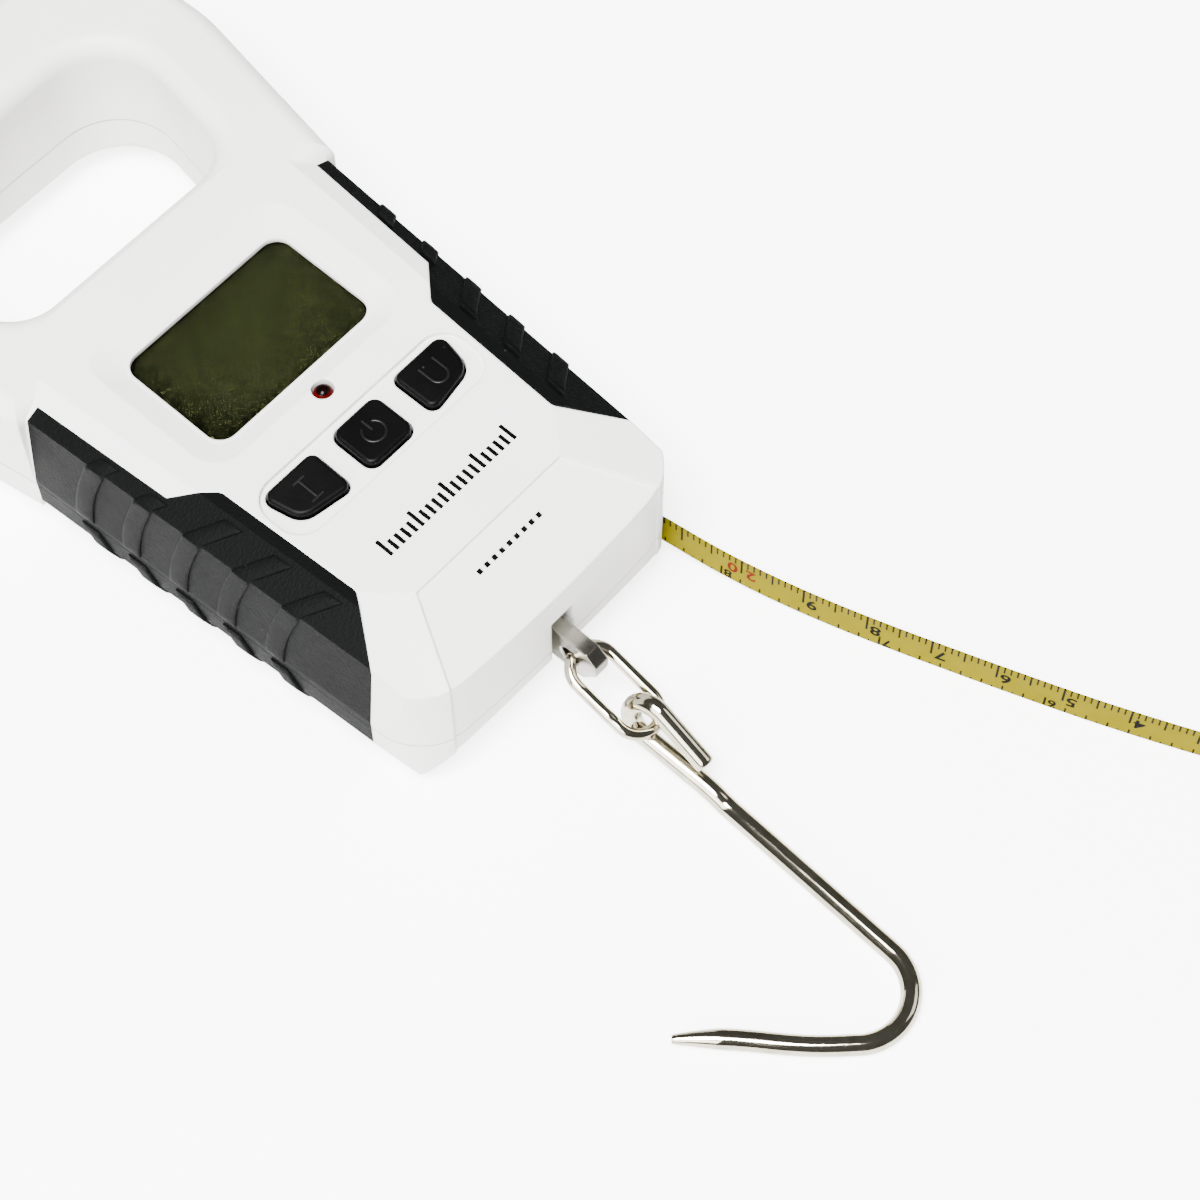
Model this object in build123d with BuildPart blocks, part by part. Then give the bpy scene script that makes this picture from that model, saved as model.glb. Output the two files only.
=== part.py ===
"""Digital fish scale: hand-held hanging scale with a loop handle, a hook on a chain link
and a pull-out tape measure. It lies on its back: +Z comes out of the display, +Y runs
towards the handle, +X to the right, and the back rests on Z = 0. Millimetres."""
from build123d import *
from math import atan, cos, degrees, radians, sin, tan
import os

os.makedirs("parts", exist_ok=True)

# ---------------------------------------------------------------- driving dimensions
thick = 30.0                # front face above the table
joint_z = 12.0              # where the front and rear housings meet
hook_end_y = -45.0          # hook end face
crown = 1.2                 # how far the hook end bows out at its middle
body_top_y = 41.0           # body's edge on the hand hole
body_block_y = 39.0         # the body's own block ends here and the handle goes on
half_width = 30.2           # body half width at y = 0
side_slope = 0.063          # half width gained per millimetre of y
corner_r = 10.0             # corners of the hook end, seen from the front
handle_end_y = 88.0         # far edge of the loop handle
handle_half = 37.5          # loop handle half width at its widest
hole_low, hole_high = 21.5, 26.5   # hand hole half widths, body side and bar side
hole_top_y = 72.0           # hand hole's edge on the bar side
handle_low_z = 3.0

edge_flat = 6.9             # flat front stops this far inside the side line
edge_low = 1.6              # outer line of the sloping side face
edge_low_z = 27.6

end_panel_y = -31.3         # where the sloping end panel starts
end_panel_half = 14.6
end_panel_drop = 3.0        # how far the end panel falls towards the hook end
end_panel_spread = 0.54     # half width that the panel gains per millimetre towards the hook end
end_panel_step = 0.3        # how deep the panel and the hook end lie between their corners

grip_skin = 1.9             # thickness of the soft grips
grip_top_y = 29.7
grip_shoulder_y = 5.4
grip_inner_y = -0.2
grip_low_y = -25.0
grip_end_y = -34.0

window_x, window_y, window_mid_y = 31.2, 20.1, 15.7
window_r = 2.8
surround_x, surround_y = 39.4, 28.4
surround_depth = 1.3

key_mid_y = -9.1
key_height = 8.1
key_gap = 0.35
key_top_z = 30.4
key_recess = 0.7
key_travel = 0.8

load_z = 12.5               # height of the load line
slot_half = 2.25
slot_low_z, slot_high_z = 5.2, 19.9

eye_thick = 2.5
eye_height = 7.5
eye_tip_y = -52.2
eye_hole_y = -47.1
eye_hole_r = 1.6

link_wire_r = 0.9
link_half = 3.55            # link's half width, to the middle of the wire
link_pitch = 15.3           # between the wire's middles at the two ends
link_tilt = 17.4            # link's slope at rest, degrees

hook_wire_r = 1.5
hook_eye_r = 3.2
hook_roll = 72.0            # lean of the hook's eye out of the table's plane, degrees
hook_bend_r = 7.9
tip_length, tip_r = 6.6, 0.6

tape_width = 6.5
tape_thick = 0.4
reel_x, reel_y = 15.0, -27.0
reel_low_z = 3.2
reel_flange = 0.6
wound_r = 7.4
reel_hub_r = 3.4
reel_flange_r = 8.2
spindle_r = 1.5

cell_r = 5.1                # battery cell radius
cell_length = 44.0
cell_z = 8.3
door_thick = 1.7

board_z = 19.4
board_thick = 1.6
board_top_z = board_z + board_thick


# ---------------------------------------------------------------- shared shapes
def half_at(y):
    """Half width of the body at a given y, on the joint line."""
    return half_width + side_slope * y


def finish(builder, label):
    """Name a finished piece and write it."""
    builder.part.label = label
    export_step(builder.part, f"parts/{label}.step")


def body_plan(side, end, top):
    """Outline of the body without its handle, each edge moved in by the given amount."""
    end_y = hook_end_y + end
    low_x = half_at(end_y) - side
    high_y = body_block_y - top
    high_x = half_at(high_y) - side
    with BuildSketch() as plan:
        with BuildLine():
            ThreePointArc((-low_x, end_y + crown), (0, end_y), (low_x, end_y + crown))
            Polyline((low_x, end_y + crown), (high_x, high_y), (-high_x, high_y), (-low_x, end_y + crown))
        make_face()
        fillet(plan.vertices().group_by(Axis.Y)[0], radius=max(corner_r - end, 1.5))
    return plan.sketch


def side_plane(sign, x_a, z_a, x_b, z_b):
    """Plane through two lines that follow the body's taper, its normal pointing outwards."""
    along = Vector(sign * side_slope, 1, 0)
    across = Vector(sign * (x_b - x_a), 0, z_b - z_a)
    normal = along.cross(across)
    if normal.X * sign < 0:
        normal = normal * -1
    return Plane(origin=(sign * x_a, 0, z_a), x_dir=along, z_dir=normal)


def end_plane(y_a, z_a, y_b, z_b):
    """Plane across the hook end, its normal pointing out of the body."""
    normal = Vector(1, 0, 0).cross(Vector(0, y_b - y_a, z_b - z_a))
    if normal.Y > 0:
        normal = normal * -1
    return Plane(origin=(0, y_a, z_a), x_dir=(1, 0, 0), z_dir=normal)


def body_envelope(inset):
    """The body's closed outer form, or the same form drawn in by an inset."""
    top = thick - inset
    with BuildPart() as env:
        with BuildSketch(Plane.XY.offset(inset)):
            add(body_plan(inset, inset, inset))
        extrude(amount=top - inset)
        for sign in (-1, 1):
            flat_x = half_width - edge_flat - 0.25 * inset
            low_x = half_width - edge_low - inset
            low_z = edge_low_z - 0.6 * inset
            wide = half_width - inset
            faces = [(flat_x, top, low_x, low_z), (low_x, low_z, wide, joint_z + 1),
                     (wide, 7.5, wide - 1.8, 2.6 + inset), (wide - 1.7, 2.8 + inset, wide - 3.4, inset)]
            for face in faces:
                split(bisect_by=side_plane(sign, *face), keep=Keep.BOTTOM)
        end = hook_end_y + inset
        faces = [(end_panel_y + inset, top, end + crown, top - end_panel_drop),
                 (end + 0.9, 8.0, end + 3.8, 3.0 + inset), (end + 3.6, 3.2 + inset, end + 8.8, inset)]
        for face in faces:
            split(bisect_by=end_plane(*face), keep=Keep.BOTTOM)
    return env.part


def shoulder_plane(sign):
    """Sloping corner face between the end panel and a grip."""
    a = Vector(sign * end_panel_half, end_panel_y, thick)
    b = Vector(sign * 19.9, grip_low_y - 0.3, thick)
    c = Vector(sign * 24.6, -37.6, thick - 2.6)
    normal = (b - a).cross(c - a)
    if normal.Z < 0:
        normal = normal * -1
    return Plane(origin=a, x_dir=b - a, z_dir=normal)


def handle_ring(outer_in, hole_out):
    """Loop handle's plan, from the body's edge to the bar, with its hand hole."""
    top_y = handle_end_y - outer_in
    wide = handle_half - outer_in
    low = half_at(30.0) - outer_in
    hole_low_x, hole_high_x = hole_low + hole_out, hole_high + hole_out
    hole_low_y, hole_high_y = body_top_y - hole_out, hole_top_y + hole_out
    with BuildSketch() as ring:
        with BuildLine():
            Polyline((-low, 30.0), (low, 30.0), (wide, 62.0), (wide - 1.0, top_y), (1.0 - wide, top_y),
                     (-wide, 62.0), (-low, 30.0))
        make_face()
        fillet(ring.vertices().group_by(Axis.Y)[-1], radius=19.0 - outer_in)
        fillet(ring.vertices().filter_by_position(Axis.Y, 61.9, 62.1), radius=30.0)
        with BuildSketch(mode=Mode.SUBTRACT) as hole:
            with BuildLine():
                Polyline((-hole_low_x, hole_low_y), (hole_low_x, hole_low_y), (hole_high_x, hole_high_y),
                         (-hole_high_x, hole_high_y), (-hole_low_x, hole_low_y))
            make_face()
            fillet(hole.vertices().group_by(Axis.Y)[0], radius=8.0)
            fillet(hole.vertices().group_by(Axis.Y)[-1], radius=11.0)
    return ring.sketch


def handle_half_form(low_z, high_z, rim):
    """Front or rear half of the loop handle, with its outer rim rounded."""
    with BuildPart() as half:
        with BuildSketch(Plane.XY.offset(low_z)):
            add(handle_ring(0, 0))
        extrude(amount=high_z - low_z)
        fillet(half.faces().sort_by(Axis.Z)[rim].edges(), radius=3.2)
    return half.part


def grip_plan(sign):
    """Area of one side grip seen from the front; it runs out past the body's side."""
    points = [(26.5, grip_shoulder_y), (21.2, grip_inner_y), (19.9, grip_low_y), (26.6, grip_end_y),
              (45.0, grip_end_y), (45.0, grip_top_y), (28.2, grip_top_y)]
    with BuildSketch() as plan:
        with BuildLine():
            Polyline(*[(sign * x, y) for x, y in points], close=True)
        make_face()
        fillet(plan.vertices().filter_by_position(Axis.X, -27, 27).sort_by(Axis.Y)[1:3], radius=1.6)
    return plan.sketch


def block(x_half, y_low, y_high, z_low, z_high, x_mid=0.0, mode=Mode.ADD):
    """A plain block, added to or cut from the piece being built."""
    with Locations((x_mid, (y_low + y_high) / 2, (z_low + z_high) / 2)):
        Box(2 * x_half, y_high - y_low, z_high - z_low, mode=mode)


def post(x, y, radius, z_low, z_high, mode=Mode.ADD):
    """A plain upright cylinder, added to or cut from the piece being built."""
    with Locations((x, y, (z_low + z_high) / 2)):
        Cylinder(radius, z_high - z_low, mode=mode)


def key_plan(column, grow):
    """Outline of one key: column -1, 0 or 1; grow is the clearance added all round."""
    with BuildSketch() as plan:
        if column == 0:
            with Locations((0, key_mid_y)):
                RectangleRounded(8.8 + 2 * grow, key_height + 2 * grow, 1.6 + grow)
        else:
            outline = [(8.1, -5.0), (18.2, -5.0), (16.8, -11.7), (8.2, -13.1)]
            with BuildLine():
                Polyline(*[(column * x, y) for x, y in outline], close=True)
            make_face()
            outer_low = plan.vertices().sort_by_distance((column * 16.8, -11.7))[0]
            fillet(outer_low, radius=3.0)
            fillet(plan.vertices().sort_by_distance((column * 10.0, -9.0))[:2], radius=1.3)
            fillet(plan.vertices().sort_by_distance((column * 18.2, -5.0))[0], radius=1.5)
            if grow > 0:
                offset(amount=grow, kind=Kind.ARC)
    return plan.sketch


# ---------------------------------------------------------------- forms shared by the shells
cavity_inset = 3.9
outer_form = body_envelope(0.0)
grip_bed = body_envelope(grip_skin)
cavity_form = body_envelope(cavity_inset)

# room that the soft grips take on the two sides
with BuildPart() as grip_space:
    for sign in (-1, 1):
        with BuildSketch(Plane.XY):
            add(grip_plan(sign))
        extrude(amount=thick + 1)
    add(grip_bed, mode=Mode.SUBTRACT)

# skin taken off the end panel and the hook end, so that they lie a step below their corners
nose_reach = 16.0
with BuildPart() as nose_skin:
    with BuildSketch(Plane.XY.offset(-1.0)):
        with BuildLine():
            nose_wide = end_panel_half + end_panel_spread * nose_reach
            Polyline((-end_panel_half, end_panel_y), (end_panel_half, end_panel_y),
                     (nose_wide, end_panel_y - nose_reach), (-nose_wide, end_panel_y - nose_reach), close=True)
        make_face()
    extrude(amount=thick + 2.0)
    add(body_envelope(end_panel_step), mode=Mode.SUBTRACT)

with BuildPart() as whole_form:
    add(outer_form)
    for sign in (-1, 1):
        split(bisect_by=shoulder_plane(sign), keep=Keep.BOTTOM)
    add(grip_space.part, mode=Mode.SUBTRACT)
    add(nose_skin.part, mode=Mode.SUBTRACT)

hook_end_screws = [(-21.5, -38.0), (21.5, -38.0)]
body_top_screws = [(-27.9, 33.5), (27.9, 33.5)]
bar_screws = [(-19.0, 80.5), (19.0, 80.5)]
screw_places = hook_end_screws + body_top_screws + bar_screws
screw_r = 1.1
screw_head_r = 2.4
screw_head_z = 3.2
boss_r = 2.6
board_posts = [(-19.6, -14.5), (19.6, -14.5), (-19.6, 30.7), (19.6, 30.7)]
lamp_x, lamp_y = 0.3, 1.1
cell_half, cell_low_z, cell_high_z = 5.5, 6.5, 18.5
cell_low_y, cell_high_y = -37.0, 12.6
eye_screw_y = -33.0
anchor_ys = (3.0, 9.4)
window_low_z = thick - surround_depth - 2.1
front_pocket_z = window_low_z + 1.2

# way of the tape from the reel to its mouth in the hook end's corner
with BuildPart() as tape_channel:
    with BuildSketch(Plane.XY.offset(reel_low_z + 0.2)):
        with BuildLine():
            Polyline((22.2, -25.5), (23.5, -25.5), (27.2, -46.0), (26.0, -46.0), close=True)
        make_face()
    extrude(amount=tape_width + 1.3)

# ---------------------------------------------------------------- front housing
with BuildPart() as front_housing:
    add(whole_form.part)
    split(bisect_by=Plane.XY.offset(joint_z), keep=Keep.TOP)
    add(handle_half_form(joint_z, thick, -1))
    add(cavity_form, mode=Mode.SUBTRACT)
    block(20.5, -16.6, 32.0, joint_z, front_pocket_z, mode=Mode.SUBTRACT)
    with BuildSketch(Plane.XY.offset(joint_z)):
        add(handle_ring(3.0, 3.0))
    extrude(amount=thick - joint_z - 4.0, mode=Mode.SUBTRACT)
    for x, y in screw_places:
        post(x, y, boss_r, joint_z, thick - 3.0)
    for x, y in board_posts:
        post(x, y, 1.6, board_top_z, front_pocket_z + 0.2)
    # sunk surround of the display
    with BuildSketch(Plane.XY.offset(thick)):
        with Locations((0, window_mid_y + 0.7)):
            RectangleRounded(surround_x, surround_y, 5.0)
    with BuildSketch(Plane.XY.offset(thick - surround_depth)):
        with Locations((0, window_mid_y)):
            RectangleRounded(window_x + 1.2, window_y + 1.2, window_r + 0.6)
    loft(mode=Mode.SUBTRACT)
    with BuildSketch(Plane.XY.offset(thick)):
        with Locations((0, window_mid_y)):
            RectangleRounded(window_x, window_y, window_r)
    extrude(amount=-5.0, mode=Mode.SUBTRACT)
    # key recess and the three key openings
    with BuildSketch(Plane.XY.offset(thick)):
        with Locations((0, key_mid_y)):
            RectangleRounded(39.6, key_height + 2.6, 4.2)
    extrude(amount=-key_recess, mode=Mode.SUBTRACT)
    for column in (-1, 0, 1):
        with BuildSketch(Plane.XY.offset(thick)):
            add(key_plan(column, key_gap))
        extrude(amount=-6.0, mode=Mode.SUBTRACT)
    post(lamp_x, lamp_y, 1.7, 20.0, thick + 1, mode=Mode.SUBTRACT)
    for x, y in screw_places:
        post(x, y, screw_r + 0.05, joint_z - 1, joint_z + 9.5, mode=Mode.SUBTRACT)
    for x, y in board_posts:
        post(x, y, 0.85, board_z, board_top_z + 4.0, mode=Mode.SUBTRACT)
    block(slot_half, hook_end_y - 1, hook_end_y + 5.5, joint_z - 1, slot_high_z, mode=Mode.SUBTRACT)
finish(front_housing, "front_housing")

# ---------------------------------------------------------------- rear housing
bay_half, bay_low_y, bay_high_y = 24.5, 14.4, 36.4
door_half, door_low_y = 24.0, 12.4
with BuildPart() as rear_housing:
    add(whole_form.part)
    split(bisect_by=Plane.XY.offset(joint_z), keep=Keep.BOTTOM)
    add(handle_half_form(handle_low_z, joint_z, 0))
    add(cavity_form, mode=Mode.SUBTRACT)
    with BuildSketch(Plane.XY.offset(joint_z)):
        add(handle_ring(3.0, 3.0))
    extrude(amount=handle_low_z + 3.0 - joint_z, mode=Mode.SUBTRACT)
    for x, y in screw_places:
        post(x, y, boss_r + 0.6, handle_low_z + 0.2, joint_z)
    # walls of the battery bay
    block(bay_half + 1.4, bay_low_y - 1.4, bay_low_y, 3.0, joint_z)
    block(bay_half, bay_low_y, bay_high_y, -1.0, joint_z + 1, mode=Mode.SUBTRACT)
    block(door_half + 0.1, door_low_y - 0.1, body_top_y + 1, -1.0, door_thick + 0.3, mode=Mode.SUBTRACT)
    # room for the load cell
    block(cell_half + 0.5, cell_low_y - 0.6, -20.0, cell_low_z - 0.5, joint_z + 1, mode=Mode.SUBTRACT)
    # reel well and its spindle seat
    post(reel_x, reel_y, reel_flange_r + 0.5, reel_low_z - 0.3, joint_z + 1, mode=Mode.SUBTRACT)
    # anchor screw pockets
    for y in anchor_ys:
        post(0, y, 3.1, 1.6, 5.0, mode=Mode.SUBTRACT)
    block(slot_half, hook_end_y - 1, hook_end_y + 6.5, slot_low_z, joint_z + 1, mode=Mode.SUBTRACT)
    add(tape_channel.part, mode=Mode.SUBTRACT)
    for x, y in screw_places:
        post(x, y, screw_r + 0.2, -1, joint_z + 1, mode=Mode.SUBTRACT)
        post(x, y, screw_head_r + 0.3, -1, screw_head_z + 2.0, mode=Mode.SUBTRACT)
finish(rear_housing, "rear_housing")

# ---------------------------------------------------------------- soft side grips
for side_name, sign in (("left", -1), ("right", 1)):
    for layer_name, keep_side in (("front", Keep.TOP), ("rear", Keep.BOTTOM)):
        with BuildPart() as grip:
            with BuildSketch(Plane.XY):
                add(grip_plan(sign))
            extrude(amount=thick + 1)
            add(outer_form, mode=Mode.INTERSECT)
            add(grip_bed, mode=Mode.SUBTRACT)
            split(bisect_by=Plane.XY.offset(joint_z), keep=keep_side)
            add(tape_channel.part, mode=Mode.SUBTRACT)
        finish(grip, f"{side_name}_grip_{layer_name}")

# ---------------------------------------------------------------- display
lcd_x, lcd_y, lcd_thick = 33.0, 22.4, 1.9
lcd_low_z = 24.4
with BuildPart() as display_window:
    with BuildSketch(Plane.XY.offset(window_low_z + 0.1)):
        with Locations((0, window_mid_y)):
            RectangleRounded(36.0, 24.6, 1.5)
    extrude(amount=1.08)
finish(display_window, "display_window")

with BuildPart() as display_panel:
    with BuildSketch(Plane.XY.offset(lcd_low_z)):
        with Locations((0, window_mid_y)):
            Rectangle(lcd_x, lcd_y)
    extrude(amount=lcd_thick)
finish(display_panel, "display_panel")

with BuildPart() as display_holder:
    with BuildSketch(Plane.XY.offset(board_top_z)):
        with Locations((0, window_mid_y)):
            Rectangle(37.0, 26.4)
    extrude(amount=window_low_z - board_z - board_thick)
    with BuildSketch(Plane.XY.offset(lcd_low_z)):
        with Locations((0, window_mid_y)):
            Rectangle(lcd_x + 0.1, lcd_y + 0.1)
    extrude(amount=3.0, mode=Mode.SUBTRACT)
    with BuildSketch(Plane.XY.offset(board_top_z - 1)):
        with Locations((0, window_mid_y - 9.6), (0, window_mid_y + 9.6)):
            Rectangle(31.0, 2.1)
    extrude(amount=6.0, mode=Mode.SUBTRACT)
    post(lamp_x, lamp_y, 2.2, board_z, thick, mode=Mode.SUBTRACT)
finish(display_holder, "display_holder")

with BuildPart() as display_connectors:
    with BuildSketch(Plane.XY.offset(board_top_z)):
        with Locations((0, window_mid_y - 9.6), (0, window_mid_y + 9.6)):
            Rectangle(30.6, 1.8)
    extrude(amount=lcd_low_z - board_z - board_thick)
finish(display_connectors, "display_connectors")

# ---------------------------------------------------------------- circuit board and what is on it
with BuildPart() as circuit_board:
    with BuildSketch(Plane.XY.offset(board_z)):
        with Locations((0, 8.0)):
            RectangleRounded(44.0, 49.6, 1.5)
        with Locations(*board_posts):
            Circle(1.1, mode=Mode.SUBTRACT)
    extrude(amount=board_thick)
finish(circuit_board, "circuit_board")

with BuildPart() as board_screws:
    for x, y in board_posts:
        post(x, y, 0.8, board_z - 0.1, board_top_z + 3.0)
        post(x, y, 1.7, board_z - 1.2, board_z)
finish(board_screws, "board_screws")

with BuildPart() as lamp:
    post(lamp_x, lamp_y, 1.5, board_top_z + 0.6, thick - 1.4)
    with Locations((lamp_x, lamp_y, thick - 1.4)):
        Sphere(1.5)
    post(lamp_x, lamp_y, 1.9, board_top_z, board_top_z + 0.9)
finish(lamp, "lamp")

with BuildPart() as buzzer:
    post(13.0, 3.0, 4.5, board_z - 3.4, board_z)
    post(13.0, 3.0, 0.8, board_z - 4.0, board_z - 2.0, mode=Mode.SUBTRACT)
finish(buzzer, "buzzer")

key_centres = [-12.9, 0.0, 12.9]
switch_top_z = board_top_z + 2.6
with BuildPart() as key_switches:
    for x in key_centres:
        block(2.9, key_mid_y - 2.9, key_mid_y + 2.9, board_top_z, board_top_z + 2.0, x)
        post(x, key_mid_y, 1.6, board_top_z + 1.5, switch_top_z)
finish(key_switches, "key_switches")

with BuildPart() as key_mat:
    with BuildSketch(Plane.XY.offset(switch_top_z)):
        with Locations((0, key_mid_y)):
            RectangleRounded(35.6, key_height + 2.4, 2.0)
    extrude(amount=0.8)
finish(key_mat, "key_mat")

key_names = {-1: "key_left", 0: "key_middle", 1: "key_right"}
mat_top_z = switch_top_z + 0.8
for column, key_name in key_names.items():
    with BuildPart() as key:
        with BuildSketch(Plane.XY.offset(mat_top_z + key_travel + 0.1)):
            add(key_plan(column, 0.0))
        extrude(amount=key_top_z - mat_top_z - key_travel - 0.1)
        fillet(key.faces().sort_by(Axis.Z)[-1].edges(), radius=0.6)
        with BuildSketch(Plane.XY.offset(mat_top_z + key_travel + 0.1)):
            add(key_plan(column, 0.9))
        extrude(amount=0.7)
    finish(key, key_name)

# ---------------------------------------------------------------- load cell, its anchor and the pull eye
with BuildPart() as load_cell:
    block(cell_half, cell_low_y, cell_high_y, cell_low_z, cell_high_z)
    with BuildSketch(Plane.YZ.offset(-cell_half - 1)):
        with Locations((-17.0, load_z), (-7.5, load_z)):
            Circle(3.4)
        with Locations((-12.2, load_z)):
            Rectangle(8.0, 1.6)
    extrude(amount=2 * cell_half + 2, mode=Mode.SUBTRACT)
    fork_half = eye_thick / 2 + 0.1
    block(fork_half, cell_low_y - 1, -26.5, cell_low_z - 1, cell_high_z + 1, mode=Mode.SUBTRACT)
    with BuildSketch(Plane.YZ.offset(-cell_half - 1)):
        with Locations((eye_screw_y, load_z)):
            Circle(1.55)
    extrude(amount=2 * cell_half + 2, mode=Mode.SUBTRACT)
    for y in anchor_ys:
        post(0, y, 1.65, cell_low_z - 1, cell_low_z + 9.0, mode=Mode.SUBTRACT)
finish(load_cell, "load_cell")

with BuildPart() as anchor_plate:
    block(8.0, -0.5, 12.6, cavity_inset + 0.02, cell_low_z)
    for y in anchor_ys:
        post(0, y, 1.8, 0, cell_low_z + 1, mode=Mode.SUBTRACT)
finish(anchor_plate, "anchor_plate")

with BuildPart() as anchor_screws:
    for y in anchor_ys:
        post(0, y, 1.6, cavity_inset - 0.1, cell_low_z + 8.0)
        post(0, y, 3.0, cavity_inset - 2.0, cavity_inset)
finish(anchor_screws, "anchor_screws")

with BuildPart() as pull_eye:
    with BuildSketch(Plane.YZ.offset(-eye_thick / 2)):
        with BuildLine():
            high_z, low_z = load_z + eye_height / 2, load_z - eye_height / 2
            Polyline((-28.0, high_z), (eye_tip_y + 1.9, high_z), (eye_tip_y, load_z + 2.0),
                     (eye_tip_y, load_z - 0.2), (eye_tip_y + 2.6, low_z), (-28.0, low_z), close=True)
        make_face()
        with Locations((eye_screw_y, load_z)):
            Circle(1.55, mode=Mode.SUBTRACT)
        with Locations((eye_hole_y, load_z - 0.4)):
            Circle(eye_hole_r, mode=Mode.SUBTRACT)
    extrude(amount=eye_thick)
    hole_edges = pull_eye.edges().filter_by(GeomType.CIRCLE).filter_by_position(Axis.Y, -49.0, -45.0)
    chamfer(hole_edges, length=0.25)
finish(pull_eye, "pull_eye")

with BuildPart() as eye_screw:
    with BuildSketch(Plane.YZ.offset(-cell_half)):
        with Locations((eye_screw_y, load_z)):
            Circle(1.5)
    extrude(amount=2 * cell_half + 2.6)
    with BuildSketch(Plane.YZ.offset(-cell_half - 1.8)):
        with Locations((eye_screw_y, load_z)):
            Circle(2.7)
    extrude(amount=1.8)
finish(eye_screw, "eye_screw")

with BuildPart() as eye_nut:
    with BuildSketch(Plane.YZ.offset(cell_half)):
        with Locations((eye_screw_y, load_z)):
            RegularPolygon(3.1, 6)
            Circle(1.55, mode=Mode.SUBTRACT)
    extrude(amount=2.2)
finish(eye_nut, "eye_nut")

# ---------------------------------------------------------------- chain link and hook
link_down = Vector(0, -cos(radians(link_tilt)), -sin(radians(link_tilt)))
link_start = Vector(0, eye_hole_y - 0.3, load_z - 0.5)
link_plane = Plane(origin=link_start, x_dir=link_down, z_dir=Vector(1, 0, 0).cross(link_down))
with BuildPart() as chain_link:
    with BuildLine(link_plane) as link_line:
        near = ThreePointArc((link_half, -link_half), (0, 0), (link_half, link_half))
        Line((link_half, link_half), (link_pitch - link_half, link_half))
        far_u = link_pitch - link_half
        ThreePointArc((far_u, link_half), (link_pitch, 0), (far_u, -link_half))
        Line((far_u, -link_half), (link_half, -link_half))
    with BuildSketch(Plane(origin=near @ 0, z_dir=near % 0)):
        Circle(link_wire_r)
    sweep(path=link_line.line)
finish(chain_link, "chain_link")

link_end = link_start + link_down * link_pitch
hook_eye_centre = Vector(0.35, link_end.Y + 1.1, link_end.Z)
hook_eye_slope = 16.0
eye_along = Vector(0, cos(radians(hook_eye_slope)), sin(radians(hook_eye_slope)))
eye_up = Vector(0, -sin(radians(hook_eye_slope)), cos(radians(hook_eye_slope)))
eye_across = Vector(1, 0, 0) * cos(radians(hook_roll)) + eye_up * sin(radians(hook_roll))
eye_reach, eye_offset = 12.2, 1.55


def in_eye(u, v):
    """Point of the hook's eye: u along the shank towards the link, v across the eye."""
    return hook_eye_centre + eye_along * (u - eye_reach) + eye_across * (v - eye_offset)


to_centre = Vector(eye_reach, eye_offset, 0)
lean = degrees(atan(eye_offset / eye_reach))
spread = degrees(atan(hook_eye_r / (to_centre.length ** 2 - hook_eye_r ** 2) ** 0.5))
tangent_length = (to_centre.length ** 2 - hook_eye_r ** 2) ** 0.5
low_u = tangent_length * cos(radians(lean - spread))
low_v = tangent_length * sin(radians(lean - spread))
high_u, high_v = low_u, 2 * eye_offset - low_v
free_u = 2.2
free_v = 2 * eye_offset - low_v * free_u / low_u

bend_centre = Vector(-9.5, -107.0, hook_wire_r)
bend_start_angle, bend_end_angle = -2.7, -140.0
tip_point = Vector(-31.5, -93.0, hook_wire_r)
shank_low = Vector(-0.13, in_eye(0, 0).Y - 3.9, hook_wire_r)


def on_bend(angle):
    """Point of the hook's bend at an angle about its middle."""
    return bend_centre + Vector(cos(radians(angle)), sin(radians(angle)), 0) * hook_bend_r


arm_start = on_bend(bend_end_angle)
arm_along = (tip_point - arm_start).normalized()
taper_start = tip_point - arm_along * tip_length
with BuildPart() as hook:
    with BuildLine() as hook_line:
        free_leg = Line(in_eye(free_u, free_v), in_eye(high_u, high_v))
        eye_far = in_eye(eye_reach + hook_eye_r, eye_offset)
        ThreePointArc(in_eye(high_u, high_v), eye_far, in_eye(low_u, low_v))
        FilletPolyline(in_eye(low_u, low_v), in_eye(0, 0), shank_low, on_bend(bend_start_angle), radius=6.0)
        bend_mid = on_bend((bend_start_angle + bend_end_angle) / 2)
        ThreePointArc(on_bend(bend_start_angle), bend_mid, arm_start)
        Line(arm_start, taper_start)
    with BuildSketch(Plane(origin=free_leg @ 0, z_dir=free_leg % 0)):
        Circle(hook_wire_r)
    sweep(path=hook_line.line)
    wire_end = hook.faces().sort_by_distance(taper_start)[0]
    extrude(wire_end, amount=tip_length, taper=degrees(atan((hook_wire_r - tip_r) / tip_length)))
finish(hook, "hook")

# ---------------------------------------------------------------- battery bay
with BuildPart() as battery_door:
    block(door_half, door_low_y, body_block_y - 0.3, 0.1, door_thick)
    for step in range(5):
        block(7.0, 30.0 + 1.4 * step, 30.6 + 1.4 * step, -0.5, 0.5, mode=Mode.SUBTRACT)
finish(battery_door, "battery_door")

battery_ys = (bay_low_y + 5.5, bay_high_y - 5.5)
nub_length, nub_r = 1.0, 1.9
for number, (y, facing) in enumerate(zip(battery_ys, (1, -1)), start=1):
    can = (-cell_length / 2, cell_length - nub_length, cell_r)
    nub = (cell_length / 2 - nub_length, nub_length, nub_r)
    with BuildPart() as battery:
        for start, length, radius in (can, nub):
            with BuildSketch(Plane.YZ.offset(facing * start)):
                with Locations((y, cell_z)):
                    Circle(radius)
            extrude(amount=facing * length)
    finish(battery, f"battery_{number}")

with BuildPart() as battery_contacts:
    for sign in (-1, 1):
        for y in battery_ys:
            block(0.2, y - 4.0, y + 4.0, cell_z - 4.0, cell_z + 4.0, sign * (bay_half - 0.25))
finish(battery_contacts, "battery_contacts")

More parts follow.
